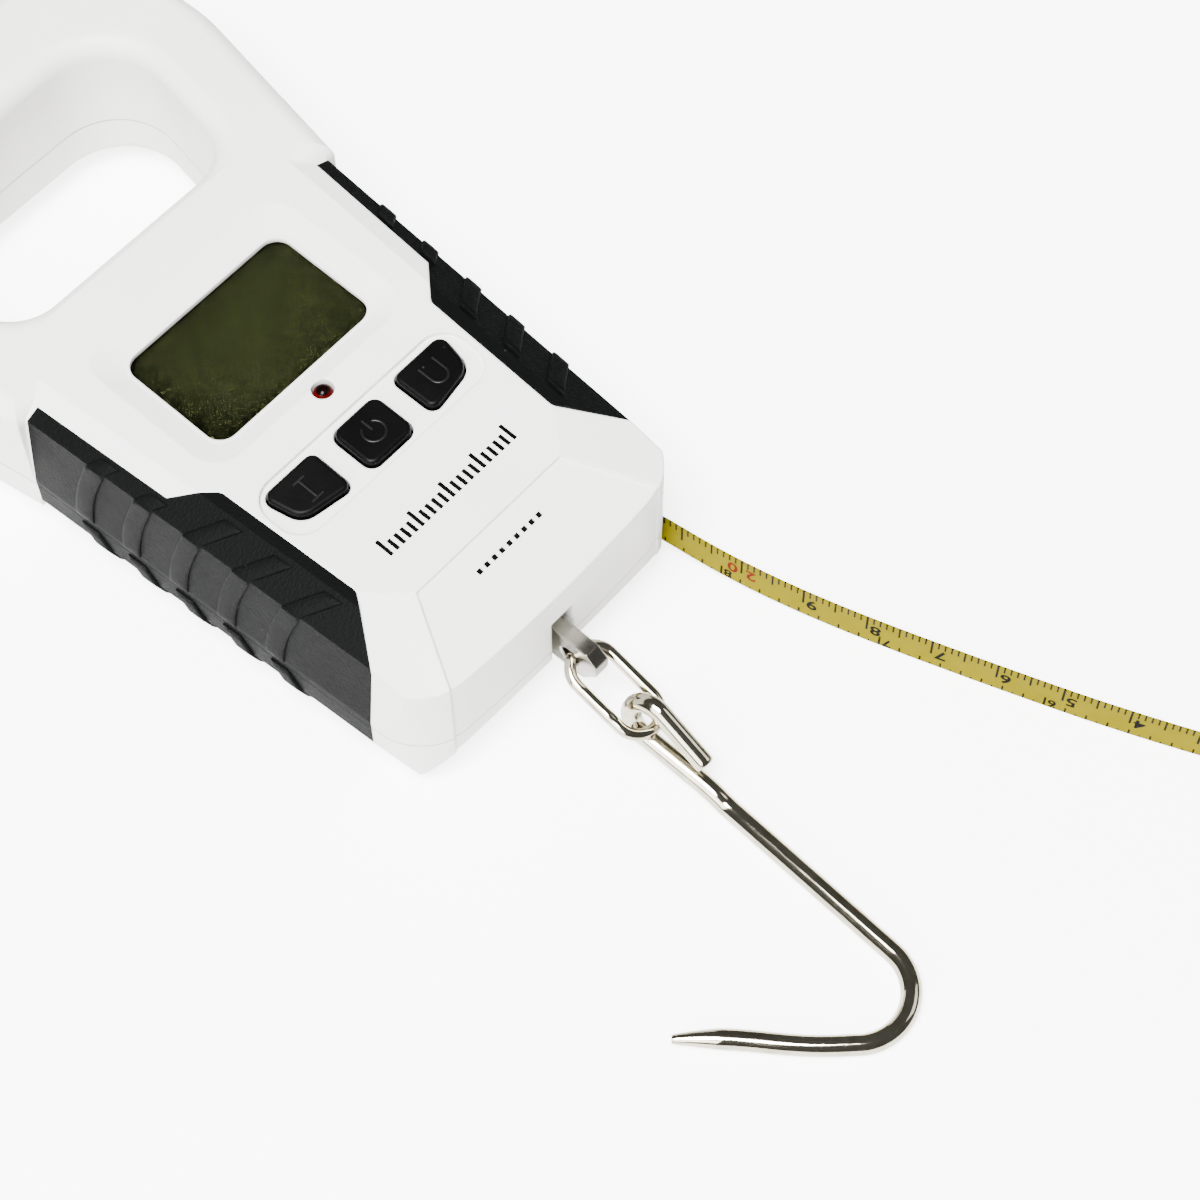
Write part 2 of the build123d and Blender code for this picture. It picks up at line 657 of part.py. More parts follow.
with BuildPart() as battery_springs:
    for sign, y in ((-1, battery_ys[0]), (1, battery_ys[1])):
        with BuildSketch(Plane.YZ.offset(sign * (cell_length / 2 + 0.05))):
            with Locations((y, cell_z)):
                Circle(3.0)
                Circle(2.2, mode=Mode.SUBTRACT)
        extrude(amount=sign * (bay_half - 0.5 - cell_length / 2 - 0.05))
finish(battery_springs, "battery_springs")

# ---------------------------------------------------------------- tape, reel and end tab
pack_low_z = reel_low_z + reel_flange + 0.05
pack_high_z = pack_low_z + tape_width
reel_high_z = pack_high_z + 0.05 + reel_flange
with BuildPart() as tape_reel:
    post(reel_x, reel_y, reel_hub_r, reel_low_z, reel_high_z)
    post(reel_x, reel_y, reel_flange_r, reel_low_z, reel_low_z + reel_flange)
    post(reel_x, reel_y, reel_flange_r, reel_high_z - reel_flange, reel_high_z)
    post(reel_x, reel_y, spindle_r + 0.08, reel_low_z - 1, reel_high_z + 1, mode=Mode.SUBTRACT)
finish(tape_reel, "tape_reel")

with BuildPart() as wound_tape:
    post(reel_x, reel_y, wound_r, pack_low_z, pack_high_z)
    post(reel_x, reel_y, reel_hub_r + 0.02, pack_low_z - 1, pack_high_z + 1, mode=Mode.SUBTRACT)
finish(wound_tape, "wound_tape")

spring_low_z = reel_high_z + 0.5
spring_high_z = spring_low_z + 3.0
with BuildPart() as reel_spindle:
    post(reel_x, reel_y, spindle_r, reel_low_z - 0.3, spring_high_z + 1.6)
finish(reel_spindle, "reel_spindle")

with BuildPart() as reel_spring:
    post(reel_x, reel_y, 6.6, spring_low_z, spring_high_z)
    post(reel_x, reel_y, spindle_r + 0.3, spring_low_z - 1, spring_high_z + 1, mode=Mode.SUBTRACT)
finish(reel_spring, "reel_spring")

with BuildPart() as reel_cover:
    post(reel_x, reel_y, 7.8, spring_low_z - 0.3, spring_high_z + 1.2)
    post(reel_x, reel_y, 6.8, spring_low_z - 1, spring_high_z + 0.1, mode=Mode.SUBTRACT)
    post(reel_x, reel_y, spindle_r + 0.05, spring_low_z - 1, spring_high_z + 3, mode=Mode.SUBTRACT)
finish(reel_cover, "reel_cover")

tape_route = [(22.8, -25.6), (25.2, -38.8), (28.0, -52.0), (32.4, -67.5), (39.2, -88.0), (48.2, -113.0),
              (61.5, -142.5), (80.5, -171.0), (104.0, -194.5), (136.0, -215.5)]
tape_out_z = tape_width / 2 + 0.1
tape_in_z = pack_low_z + tape_width / 2
fall_start_y, fall_end_y = -41.0, -57.0


def corner_radii(route):
    """Largest arc that each corner of a route allows."""
    radii = []
    for before, here, after in zip(route, route[1:], route[2:]):
        run_in, run_out = Vector(*here) - Vector(*before), Vector(*after) - Vector(*here)
        shorter = min(run_in.length, run_out.length)
        radii.append(0.45 * shorter / tan(radians(run_in.get_angle(run_out)) / 2))
    return radii


tape_radii = corner_radii(tape_route)
with BuildPart() as tape:
    with BuildSketch(Plane.XY):
        with BuildLine():
            tape_path = FilletPolyline(*tape_route, radius=tape_radii)
        trace(tape_path, line_width=tape_thick)
    extrude(amount=pack_high_z + 1)
    with BuildSketch(Plane.YZ.offset(-10)):
        with BuildLine():
            half_tape = tape_width / 2
            Polyline((0, tape_in_z - half_tape), (fall_start_y, tape_in_z - half_tape),
                     (fall_end_y, tape_out_z - half_tape), (-300, tape_out_z - half_tape),
                     (-300, tape_out_z + half_tape), (fall_end_y, tape_out_z + half_tape),
                     (fall_start_y, tape_in_z + half_tape), (0, tape_in_z + half_tape), close=True)
        make_face()
    extrude(amount=300, mode=Mode.INTERSECT)
print("tape length from the reel, mm:", round(tape_path.length, 2))
finish(tape, "tape")

tab_along = (Vector(*tape_route[-1]) - Vector(*tape_route[-2])).normalized()
tab_plane = Plane(origin=(*tape_route[-1], 0.05), x_dir=tab_along, z_dir=(0, 0, 1))
with BuildPart() as tape_end_tab:
    with BuildSketch(tab_plane):
        with Locations((3.5, 0)):
            RectangleRounded(13.0, 3.4, 1.0)
    extrude(amount=tape_width + 0.7)
    with BuildSketch(tab_plane):
        with Locations((-1.4, 0)):
            Rectangle(3.3, tape_thick + 0.06)
    extrude(amount=tape_width + 0.7, mode=Mode.SUBTRACT)
finish(tape_end_tab, "tape_end_tab")

# ---------------------------------------------------------------- fasteners
with BuildPart() as housing_screws:
    for x, y in screw_places:
        post(x, y, screw_r, screw_head_z, joint_z + 9.0)
        post(x, y, screw_head_r, screw_head_z + 0.1, screw_head_z + 2.0)
finish(housing_screws, "housing_screws")
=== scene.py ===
import math

import bmesh
import bpy
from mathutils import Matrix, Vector


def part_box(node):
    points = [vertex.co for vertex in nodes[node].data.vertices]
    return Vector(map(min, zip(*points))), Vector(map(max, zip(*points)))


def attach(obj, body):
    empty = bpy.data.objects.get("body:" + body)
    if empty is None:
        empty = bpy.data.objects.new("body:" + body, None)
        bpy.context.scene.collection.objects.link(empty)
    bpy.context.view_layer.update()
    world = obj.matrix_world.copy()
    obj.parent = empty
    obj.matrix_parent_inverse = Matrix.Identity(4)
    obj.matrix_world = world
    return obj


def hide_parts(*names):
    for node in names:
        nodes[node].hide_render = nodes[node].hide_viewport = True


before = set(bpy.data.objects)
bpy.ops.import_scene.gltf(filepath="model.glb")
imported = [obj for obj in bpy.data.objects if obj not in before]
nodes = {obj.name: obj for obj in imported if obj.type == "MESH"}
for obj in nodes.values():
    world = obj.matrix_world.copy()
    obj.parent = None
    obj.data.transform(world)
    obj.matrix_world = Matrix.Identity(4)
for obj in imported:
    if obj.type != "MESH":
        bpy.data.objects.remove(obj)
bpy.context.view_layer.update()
scene = bpy.context.scene
MM = 0.001


# ---------------------------------------------------------------- camera
def place_camera():
    """Looks down on the lying scale from the hook's left side."""
    turn, rise, distance = math.radians(-48.184), math.radians(61.882), 0.442132
    target = Vector((13.163, -40.0, 0.0)) * MM
    back = Vector((math.sin(turn) * math.cos(rise), -math.cos(turn) * math.cos(rise), math.sin(rise)))
    camera = bpy.data.objects.new("camera", bpy.data.cameras.new("camera"))
    camera.data.lens = 90.0
    camera.data.sensor_width = 36.0
    camera.data.clip_start = 0.02
    camera.location = target + back * distance
    camera.rotation_euler = (-back).to_track_quat("-Z", "Y").to_euler()
    scene.collection.objects.link(camera)
    scene.camera = camera


place_camera()


# ---------------------------------------------------------------- shader node groups
def new_group(name, inputs, outputs):
    """An empty shader node group with a vector and numbers in, numbers out."""
    group = bpy.data.node_groups.new(name, "ShaderNodeTree")
    group.interface.new_socket("Vector", in_out="INPUT", socket_type="NodeSocketVector")
    for label, value in inputs.items():
        socket = group.interface.new_socket(label, in_out="INPUT", socket_type="NodeSocketFloat")
        socket.default_value = value
    for label in outputs:
        group.interface.new_socket(label, in_out="OUTPUT", socket_type="NodeSocketFloat")
    return group, group.nodes.new("NodeGroupInput"), group.nodes.new("NodeGroupOutput")


def feed(tree, socket, value):
    """Links a socket to an output, or sets it to a number or a colour."""
    if isinstance(value, bpy.types.NodeSocket):
        tree.links.new(value, socket)
    elif isinstance(value, tuple):
        socket.default_value = (*value, 1.0)
    else:
        socket.default_value = value


def math_node(tree, kind, a, b=None, c=None, clamp=False):
    """One maths node on numbers or sockets."""
    node = tree.nodes.new("ShaderNodeMath")
    node.operation = kind
    node.use_clamp = clamp
    for socket, value in zip(node.inputs, (a, b, c)):
        if value is not None:
            feed(tree, socket, value)
    return node.outputs[0]


def noise(tree, coordinate, scale, detail=2.0, rough=0.5):
    """Noise value on a coordinate; scale is a number or a socket."""
    node = tree.nodes.new("ShaderNodeTexNoise")
    for label, value in (("Vector", coordinate), ("Scale", scale), ("Detail", detail), ("Roughness", rough)):
        feed(tree, node.inputs[label], value)
    return node.outputs["Fac"]


def map_range(tree, value, low, high, to_low, to_high):
    """Value moved from one range to another, held at the ends."""
    node = tree.nodes.new("ShaderNodeMapRange")
    labels = ("Value", "From Min", "From Max", "To Min", "To Max")
    for label, number in zip(labels, (value, low, high, to_low, to_high)):
        feed(tree, node.inputs[label], number)
    return node.outputs["Result"]


def mix_colour(tree, factor, first, second):
    """Colour between two others."""
    node = tree.nodes.new("ShaderNodeMix")
    node.data_type = "RGBA"
    for index, value in ((0, factor), (6, first), (7, second)):
        feed(tree, node.inputs[index], value)
    return node.outputs[2]


def lay_over(tree, base, mask, share, colour):
    """Colour laid over a base where a mask is, by a share of the mask."""
    return mix_colour(tree, math_node(tree, "MULTIPLY", mask, share), base, colour)


def moulded_grain_group():
    """Fine moulding grain with slow unevenness: gives a height and a slow mask."""
    group, enter, leave = new_group(
        "moulded grain", {"Grain Scale": 3000.0, "Wave Scale": 60.0}, ("Height", "Slow"))
    fine = noise(group, enter.outputs["Vector"], enter.outputs["Grain Scale"], 3.0, 0.6)
    slow = noise(group, enter.outputs["Vector"], enter.outputs["Wave Scale"], 3.0, 0.5)
    height = math_node(group, "MULTIPLY_ADD", slow, 0.35, fine)
    group.links.new(height, leave.inputs["Height"])
    group.links.new(slow, leave.inputs["Slow"])
    return group


def handling_marks_group():
    """Smudges and fine scratches: a smudge mask and a scratch mask."""
    group, enter, leave = new_group(
        "handling marks", {"Smudge Scale": 90.0, "Scratch Scale": 240.0}, ("Smudge", "Scratch"))
    cloud = noise(group, enter.outputs["Vector"], enter.outputs["Smudge Scale"], 5.0, 0.62)
    smudge = map_range(group, cloud, 0.44, 0.68, 0.0, 1.0)
    stretch = group.nodes.new("ShaderNodeVectorMath")
    stretch.operation = "MULTIPLY"
    stretch.inputs[1].default_value = (1.0, 14.0, 5.0)
    group.links.new(enter.outputs["Vector"], stretch.inputs[0])
    lines = noise(group, stretch.outputs[0], enter.outputs["Scratch Scale"], 2.0, 0.5)
    scratch = map_range(group, lines, 0.66, 0.72, 0.0, 1.0)
    group.links.new(smudge, leave.inputs["Smudge"])
    group.links.new(scratch, leave.inputs["Scratch"])
    return group


def dust_group():
    """Sparse round dust specks."""
    group, enter, leave = new_group("dust specks", {"Scale": 420.0, "Share": 0.07}, ("Dust",))
    cells = group.nodes.new("ShaderNodeTexVoronoi")
    cells.feature = "F1"
    group.links.new(enter.outputs["Vector"], cells.inputs["Vector"])
    group.links.new(enter.outputs["Scale"], cells.inputs["Scale"])
    pick = group.nodes.new("ShaderNodeSeparateColor")
    group.links.new(cells.outputs["Color"], pick.inputs[0])
    chosen = math_node(group, "LESS_THAN", pick.outputs[0], enter.outputs["Share"])
    near = map_range(group, cells.outputs["Distance"], 0.05, 0.16, 1.0, 0.0)
    speck = math_node(group, "MULTIPLY", chosen, near)
    group.links.new(speck, leave.inputs["Dust"])
    return group


def edge_wear_group():
    """Where a convex edge is rubbed, broken up by noise."""
    group, enter, leave = new_group("edge wear", {"Radius": 0.0006, "Break Scale": 500.0}, ("Wear",))
    bevel = group.nodes.new("ShaderNodeBevel")
    bevel.samples = 4
    group.links.new(enter.outputs["Radius"], bevel.inputs["Radius"])
    geometry = group.nodes.new("ShaderNodeNewGeometry")
    dot = group.nodes.new("ShaderNodeVectorMath")
    dot.operation = "DOT_PRODUCT"
    group.links.new(bevel.outputs[0], dot.inputs[0])
    group.links.new(geometry.outputs["Normal"], dot.inputs[1])
    edge = map_range(group, dot.outputs["Value"], 0.995, 0.9, 0.0, 1.0)
    broken = noise(group, enter.outputs["Vector"], enter.outputs["Break Scale"], 4.0, 0.6)
    spots = map_range(group, broken, 0.42, 0.6, 0.0, 1.0)
    wear = math_node(group, "MULTIPLY", edge, spots, clamp=True)
    group.links.new(wear, leave.inputs["Wear"])
    return group


JOINT_Z = 0.012                     # height where the front and rear mouldings meet, in metres


def seam_group():
    """Thin dark line of painted shade where the front and rear mouldings meet, standing for the shade in the
    gap of their joint.
    """
    group, enter, leave = new_group("painted parting shade", {"Half Width": 0.0001}, ("Line",))
    parts = group.nodes.new("ShaderNodeSeparateXYZ")
    group.links.new(enter.outputs["Vector"], parts.inputs[0])
    away = math_node(group, "ABSOLUTE", math_node(group, "SUBTRACT", parts.outputs[2], JOINT_Z))
    outer = math_node(group, "MULTIPLY", enter.outputs["Half Width"], 1.6)
    line = map_range(group, away, enter.outputs["Half Width"], outer, 1.0, 0.0)
    group.links.new(line, leave.inputs["Line"])
    return group


GRAIN = moulded_grain_group()
SEAM_SHADE = seam_group()
MARKS = handling_marks_group()
DUST = dust_group()
WEAR = edge_wear_group()


def put_group(tree, group, coordinate, **values):
    """A group placed in a material with its own values."""
    node = tree.nodes.new("ShaderNodeGroup")
    node.node_tree = group
    tree.links.new(coordinate, node.inputs["Vector"])
    for label, number in values.items():
        node.inputs[label.replace("_", " ").title()].default_value = number
    return node


def new_material(name):
    """A material with its Principled shader and Object coordinates."""
    material = bpy.data.materials.new(name)
    material.use_nodes = True
    tree = material.node_tree
    shader = tree.nodes["Principled BSDF"]
    coordinate = tree.nodes.new("ShaderNodeTexCoord").outputs["Object"]
    return material, tree, shader, coordinate


def dress(tree, shader, base, rough, height, depth, inner=None):
    """Colour, roughness and fine relief of a shader; depth in metres."""
    feed(tree, shader.inputs["Base Color"], base)
    feed(tree, shader.inputs["Roughness"], rough)
    node = tree.nodes.new("ShaderNodeBump")
    feed(tree, node.inputs["Distance"], depth)
    feed(tree, node.inputs["Height"], height)
    if inner is not None:
        feed(tree, node.inputs["Normal"], inner)
    tree.links.new(node.outputs[0], shader.inputs["Normal"])


def rounded_normal(tree, radius):
    """Shading normal with the hard edges softened."""
    node = tree.nodes.new("ShaderNodeBevel")
    node.samples = 6
    node.inputs["Radius"].default_value = radius
    return node.outputs[0]


def plastic(name, colour, shade, rough_low, rough_high, grain_scale, grain_depth, smudge=0.3,
            soft_edge=0.0004, specular=0.5, dust=0.0, dust_colour=(0.5, 0.5, 0.47), coat=0.0,
            wear_colour=None, seam_shade=0.0):
    """Moulded plastic or rubber: slow colour unevenness, grain, smudges, dust and rubbed edges."""
    material, tree, shader, coordinate = new_material(name)
    grain = put_group(tree, GRAIN, coordinate, grain_scale=grain_scale, wave_scale=55.0)
    marks = put_group(tree, MARKS, coordinate, smudge_scale=85.0, scratch_scale=220.0)
    height, slow = grain.outputs["Height"], grain.outputs["Slow"]
    base = mix_colour(tree, map_range(tree, slow, 0.35, 0.65, 0.0, 1.0), colour, shade)
    if wear_colour is not None:
        wear = put_group(tree, WEAR, coordinate, radius=0.0005, break_scale=900.0)
        base = lay_over(tree, base, wear.outputs["Wear"], 0.6, wear_colour)
    if dust > 0:
        specks = put_group(tree, DUST, coordinate, scale=900.0, share=dust)
        base = lay_over(tree, base, specks.outputs["Dust"], 0.8, dust_colour)
    # painted shade: the joint of the front and rear mouldings is darkened in colour for the shade in its
    # gap; the bump also sinks it slightly
    if seam_shade > 0:
        parting = put_group(tree, SEAM_SHADE, coordinate, half_width=0.00009)
        base = lay_over(tree, base, parting.outputs["Line"], seam_shade, (0.0, 0.0, 0.0))
        height = math_node(tree, "MULTIPLY_ADD", parting.outputs["Line"], -6.0, height)
    spread = math_node(tree, "MULTIPLY_ADD", marks.outputs["Smudge"], smudge, slow)
    rough = map_range(tree, spread, 0.3, 0.8, rough_low, rough_high)
    shader.inputs["Specular IOR Level"].default_value = specular
    shader.inputs["Coat Weight"].default_value = coat
    shader.inputs["Coat Roughness"].default_value = 0.12
    inner = rounded_normal(tree, soft_edge) if soft_edge > 0 else None
    dress(tree, shader, base, rough, height, grain_depth, inner)
    return material


def metal(name, colour, shade, rough_low, rough_high, brush, brush_depth, tarnish=None, soft_edge=0.0002):
    """Bare or plated metal with brushing, fine scratches and tarnish in patches."""
    material, tree, shader, coordinate = new_material(name)
    stretch = tree.nodes.new("ShaderNodeMapping")
    stretch.inputs["Scale"].default_value = brush
    tree.links.new(coordinate, stretch.inputs["Vector"])
    streaks = noise(tree, stretch.outputs[0], 900.0, 3.0, 0.6)
    marks = put_group(tree, MARKS, coordinate, smudge_scale=160.0, scratch_scale=500.0)
    base = mix_colour(tree, streaks, colour, shade)
    if tarnish is not None:
        base = lay_over(tree, base, marks.outputs["Smudge"], 0.55, tarnish)
    dull = math_node(tree, "MULTIPLY", marks.outputs["Smudge"], 0.3)
    dull = math_node(tree, "MULTIPLY_ADD", streaks, 0.6, dull)
    dull = math_node(tree, "MULTIPLY_ADD", marks.outputs["Scratch"], 0.5, dull)
    rough = map_range(tree, dull, 0.1, 1.0, rough_low, rough_high)
    shader.inputs["Metallic"].default_value = 1.0
    dress(tree, shader, base, rough, streaks, brush_depth, rounded_normal(tree, soft_edge))
    return material


# ---------------------------------------------------------------- finishes
# Two linear colours, lowest and highest roughness, then the grain's scale and depth in metres.
# seam sets how dark the painted shade along the joint of the mouldings is.
white_shell = plastic("white shell", (0.755, 0.75, 0.728), (0.725, 0.72, 0.695), 0.34, 0.5, 2600.0, 0.000014,
                      smudge=0.25, soft_edge=0.0005, specular=0.25, seam_shade=0.3)
white_door = plastic("white battery door", (0.745, 0.74, 0.72), (0.715, 0.71, 0.69), 0.34, 0.5, 2600.0,
                     0.00002, smudge=0.25, soft_edge=0.0003)
grip_black = plastic("grip rubber", (0.0017, 0.0019, 0.0019), (0.0022, 0.0024, 0.0024), 0.44, 0.54, 2300.0,
                     0.00009, smudge=0.15, soft_edge=0.0003, dust=0.008, dust_colour=(0.03, 0.03, 0.027),
                     specular=0.022, wear_colour=(0.007, 0.0073, 0.0073), seam_shade=0.85)
key_rubber = plastic("key rubber", (0.0009, 0.0009, 0.001), (0.0014, 0.0014, 0.0014), 0.34, 0.48, 1500.0,
                     0.00003, soft_edge=0.0002, dust=0.02, dust_colour=(0.03, 0.03, 0.03), specular=0.06)
glyph_rubber = plastic("key sign rubber", (0.0026, 0.0026, 0.0028), (0.0036, 0.0036, 0.0036), 0.32, 0.44,
                       1500.0, 0.00002, soft_edge=0.0, specular=0.16)
dark_plastic = plastic("dark plastic", (0.006, 0.0062, 0.006), (0.009, 0.0093, 0.009), 0.4, 0.6, 1800.0,
                       0.00003, dust=0.02, specular=0.15)
reel_plastic = plastic("reel plastic", (0.11, 0.11, 0.11), (0.14, 0.14, 0.135), 0.35, 0.5, 1800.0, 0.00002)
board_green = plastic("board lacquer", (0.015, 0.11, 0.045), (0.02, 0.15, 0.06), 0.25, 0.4, 900.0, 0.00002,
                      coat=0.3)
switch_black = plastic("switch body", (0.04, 0.04, 0.04), (0.06, 0.06, 0.06), 0.4, 0.55, 1800.0, 0.00002)
contact_rubber = plastic("contact strip rubber", (0.5, 0.44, 0.38), (0.32, 0.28, 0.25), 0.5, 0.7, 1500.0,
                         0.00002)
battery_wrap = plastic("battery wrap", (0.03, 0.045, 0.09), (0.04, 0.06, 0.12), 0.2, 0.34, 900.0, 0.00001,
                       coat=0.4)
print_ink = plastic("printed ink", (0.001, 0.001, 0.001), (0.002, 0.002, 0.002), 0.35, 0.5, 2600.0, 0.00001,
                    soft_edge=0.0, specular=0.012)
red_ink = plastic("red printed ink", (0.085, 0.003, 0.0), (0.10, 0.004, 0.0), 0.35, 0.5, 2600.0, 0.00001,
                  soft_edge=0.0, specular=0.012)
# Two colours, lowest and highest roughness, then the brushing's stretch and its depth in metres.
plated_steel = metal("plated wire", (0.64, 0.60, 0.49), (0.44, 0.405, 0.31), 0.04, 0.17, (1.0, 0.25, 1.0),
                     0.000005, tarnish=(0.22, 0.19, 0.11))
plain_steel = metal("plain steel", (0.62, 0.61, 0.58), (0.48, 0.47, 0.44), 0.22, 0.42, (6.0, 0.3, 6.0),
                    0.00001, tarnish=(0.36, 0.34, 0.3))
eye_steel = metal("brushed eye steel", (0.46, 0.44, 0.39), (0.27, 0.255, 0.22), 0.12, 0.26, (8.0, 0.35, 8.0),
                  0.00002, tarnish=(0.14, 0.125, 0.095), soft_edge=0.00035)
spring_steel = metal("spring steel", (0.42, 0.41, 0.4), (0.34, 0.33, 0.32), 0.2, 0.4, (1.0, 1.0, 1.0),
                     0.000005)
cell_alloy = metal("milled alloy", (0.74, 0.75, 0.76), (0.62, 0.63, 0.64), 0.25, 0.42, (0.4, 6.0, 6.0),
                   0.00001)


def window_material():
    """Clear moulded window with a few smudges."""
    material, tree, shader, coordinate = new_material("clear window")
    marks = put_group(tree, MARKS, coordinate, smudge_scale=120.0, scratch_scale=300.0)
    grain = put_group(tree, GRAIN, coordinate, grain_scale=1200.0, wave_scale=40.0)
    shader.inputs["Transmission Weight"].default_value = 1.0
    shader.inputs["IOR"].default_value = 1.12
    rough = map_range(tree, marks.outputs["Smudge"], 0.0, 1.0, 0.0, 0.06)
    dress(tree, shader, (0.93, 0.95, 0.9), rough, grain.outputs["Height"], 0.000002)
    return material


def centred(tree, coordinate, label):
    """Object coordinates moved so that the middle of a node is at zero across and along."""
    low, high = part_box(label)
    middle = (low + high) / 2
    place = tree.nodes.new("ShaderNodeMapping")
    place.inputs["Location"].default_value = (-middle.x, -middle.y, 0)
    tree.links.new(coordinate, place.inputs["Vector"])
    return place.outputs[0]


def display_material():
    """Olive display glass, unlit, with dust on it; painted shade darkens it towards the walls of its recess,
    so it is lighter towards the middle.
    """
    material, tree, shader, coordinate = new_material("display glass")
    parts = tree.nodes.new("ShaderNodeSeparateXYZ")
    tree.links.new(centred(tree, coordinate, "display_panel"), parts.inputs[0])
    across, along = (math_node(tree, "POWER", math_node(tree, "DIVIDE", part, half), 2.0)
                     for part, half in ((parts.outputs[0], 0.0155), (parts.outputs[1], 0.010)))
    # painted shade: the glass is darker towards its edges, where the walls of its recess shade it
    edge = map_range(tree, math_node(tree, "ADD", across, along), 0.1, 1.7, 0.0, 1.0)
    base = mix_colour(tree, edge, (0.0185, 0.0205, 0.0060), (0.0150, 0.0165, 0.0052))
    cloud = noise(tree, coordinate, 90.0, 3.0)
    base = mix_colour(tree, map_range(tree, cloud, 0.4, 0.6, 0.0, 0.14), base, (0.0150, 0.0165, 0.0050))
    specks = put_group(tree, DUST, coordinate, scale=900.0, share=0.05)
    base = lay_over(tree, base, specks.outputs["Dust"], 0.55, (0.07, 0.07, 0.05))
    shader.inputs["Specular IOR Level"].default_value = 0.1
    dress(tree, shader, base, map_range(tree, cloud, 0.3, 0.7, 0.3, 0.45), cloud, 0.000004)
    return material


def lamp_material():
    """Dark red lamp lens, brighter at its rim; its near black middle is painted shade, standing for a hollow
    in shade.
    """
    material, tree, shader, coordinate = new_material("lamp lens")
    flat, reach = tree.nodes.new("ShaderNodeVectorMath"), tree.nodes.new("ShaderNodeVectorMath")
    flat.operation, reach.operation = "MULTIPLY", "LENGTH"
    flat.inputs[1].default_value = (1, 1, 0)
    tree.links.new(centred(tree, coordinate, "lamp"), flat.inputs[0])
    tree.links.new(flat.outputs[0], reach.inputs[0])
    # painted shade: the middle of the lens is near black for the shade in a hollow, the rim keeps the red
    rim = map_range(tree, reach.outputs["Value"], 0.0009, 0.0014, 0.0, 1.0)
    base = mix_colour(tree, rim, (0.0015, 0.0004, 0.0004), (0.085, 0.0025, 0.002))
    cloud = noise(tree, coordinate, 700.0, 2.0)
    base = mix_colour(tree, map_range(tree, cloud, 0.4, 0.7, 0.0, 0.2), base, (0.012, 0.001, 0.001))
    shader.inputs["Specular IOR Level"].default_value = 0.06
    dress(tree, shader, base, map_range(tree, cloud, 0.3, 0.7, 0.12, 0.24), cloud, 0.000004)
    return material


def tape_material():
    """Yellow printed steel tape; its UV map holds the distance from the zero mark and the height, in mm."""
    material, tree, shader, coordinate = new_material("yellow tape")
    uv = tree.nodes.new("ShaderNodeUVMap")
    uv.uv_map = "scale"
    parts = tree.nodes.new("ShaderNodeSeparateXYZ")
    tree.links.new(uv.outputs[0], parts.inputs[0])
    along, height = parts.outputs[0], parts.outputs[1]

    def ticks(pitch, half, low, high, offset=0.0):
        """Row of ticks: 1 inside a tick between two heights."""
        shifted = math_node(tree, "ADD", along, offset + pitch / 2)
        place = math_node(tree, "PINGPONG", math_node(tree, "ADD", shifted, pitch / 2), pitch / 2)
        inside = map_range(tree, place, half * 0.8, half * 1.2, 1.0, 0.0)
        above = map_range(tree, height, low - 0.04, low + 0.04, 0.0, 1.0)
        below = map_range(tree, height, high - 0.04, high + 0.04, 1.0, 0.0)
        return math_node(tree, "MULTIPLY", inside, math_node(tree, "MULTIPLY", above, below))

    rows = [ticks(1.0, 0.13, 5.1, 6.6), ticks(5.0, 0.15, 4.1, 6.6), ticks(10.0, 0.17, 3.0, 6.6),
            ticks(1.5875, 0.13, -0.1, 0.5), ticks(3.175, 0.14, -0.1, 1.2), ticks(25.4, 0.17, -0.1, 2.3)]
    ink = rows[0]
    for row in rows[1:]:
        ink = math_node(tree, "MAXIMUM", ink, row)
    cloud = noise(tree, coordinate, 260.0, 4.0, 0.6)
    uneven = map_range(tree, cloud, 0.35, 0.65, 0.0, 1.0)
    base = mix_colour(tree, uneven, (0.150, 0.122, 0.0), (0.140, 0.114, 0.0))
    worn = map_range(tree, noise(tree, coordinate, 2200.0, 2.0), 0.3, 0.42, 0.86, 1.0)
    base = lay_over(tree, base, ink, worn, (0.0015, 0.0013, 0.001))
    shader.inputs["Specular IOR Level"].default_value = 0.01
    dress(tree, shader, base, map_range(tree, cloud, 0.3, 0.7, 0.32, 0.48), cloud, 0.00002)
    return material


clear_window = window_material()
display_glass = display_material()
lamp_lens = lamp_material()
tape_yellow = tape_material()

for finish, labels in (
        (white_shell, "front_housing rear_housing"),
        (white_door, "battery_door"),
        (grip_black, "left_grip_front left_grip_rear right_grip_front right_grip_rear"),
        (clear_window, "display_window"),
        (display_glass, "display_panel"),
        (dark_plastic, "display_holder buzzer tape_end_tab"),
        (contact_rubber, "display_connectors"),
        (board_green, "circuit_board"),
        (lamp_lens, "lamp"),
        (switch_black, "key_switches"),
        (key_rubber, "key_mat key_left key_middle key_right"),
        (cell_alloy, "load_cell"),
        (plain_steel, "board_screws anchor_plate anchor_screws eye_screw eye_nut battery_contacts "
                      "reel_spindle housing_screws"),
        (eye_steel, "pull_eye"),
        (plated_steel, "chain_link hook"),
        (battery_wrap, "battery_1 battery_2"),
        (spring_steel, "battery_springs reel_spring"),
        (reel_plastic, "tape_reel reel_cover"),
        (tape_yellow, "wound_tape tape")):
    for label in labels.split():
        nodes[label].data.materials.clear()
        nodes[label].data.materials.append(finish)


# ---------------------------------------------------------------- mesh helpers
def in_scene(name, data):
    """An object with this data, linked to the scene."""
    made = bpy.data.objects.new(name, data)
    scene.collection.objects.link(made)
    return made


def evaluated_mesh(holder):
    """Plain mesh of what an object's curve or modifiers give."""
    return bpy.data.meshes.new_from_object(holder.evaluated_get(bpy.context.evaluated_depsgraph_get()))


def curve_mesh(name, curve):
    """Plain mesh of a curve."""
    holder = in_scene(name, curve)
    mesh = evaluated_mesh(holder)
    bpy.data.objects.remove(holder)
    return mesh


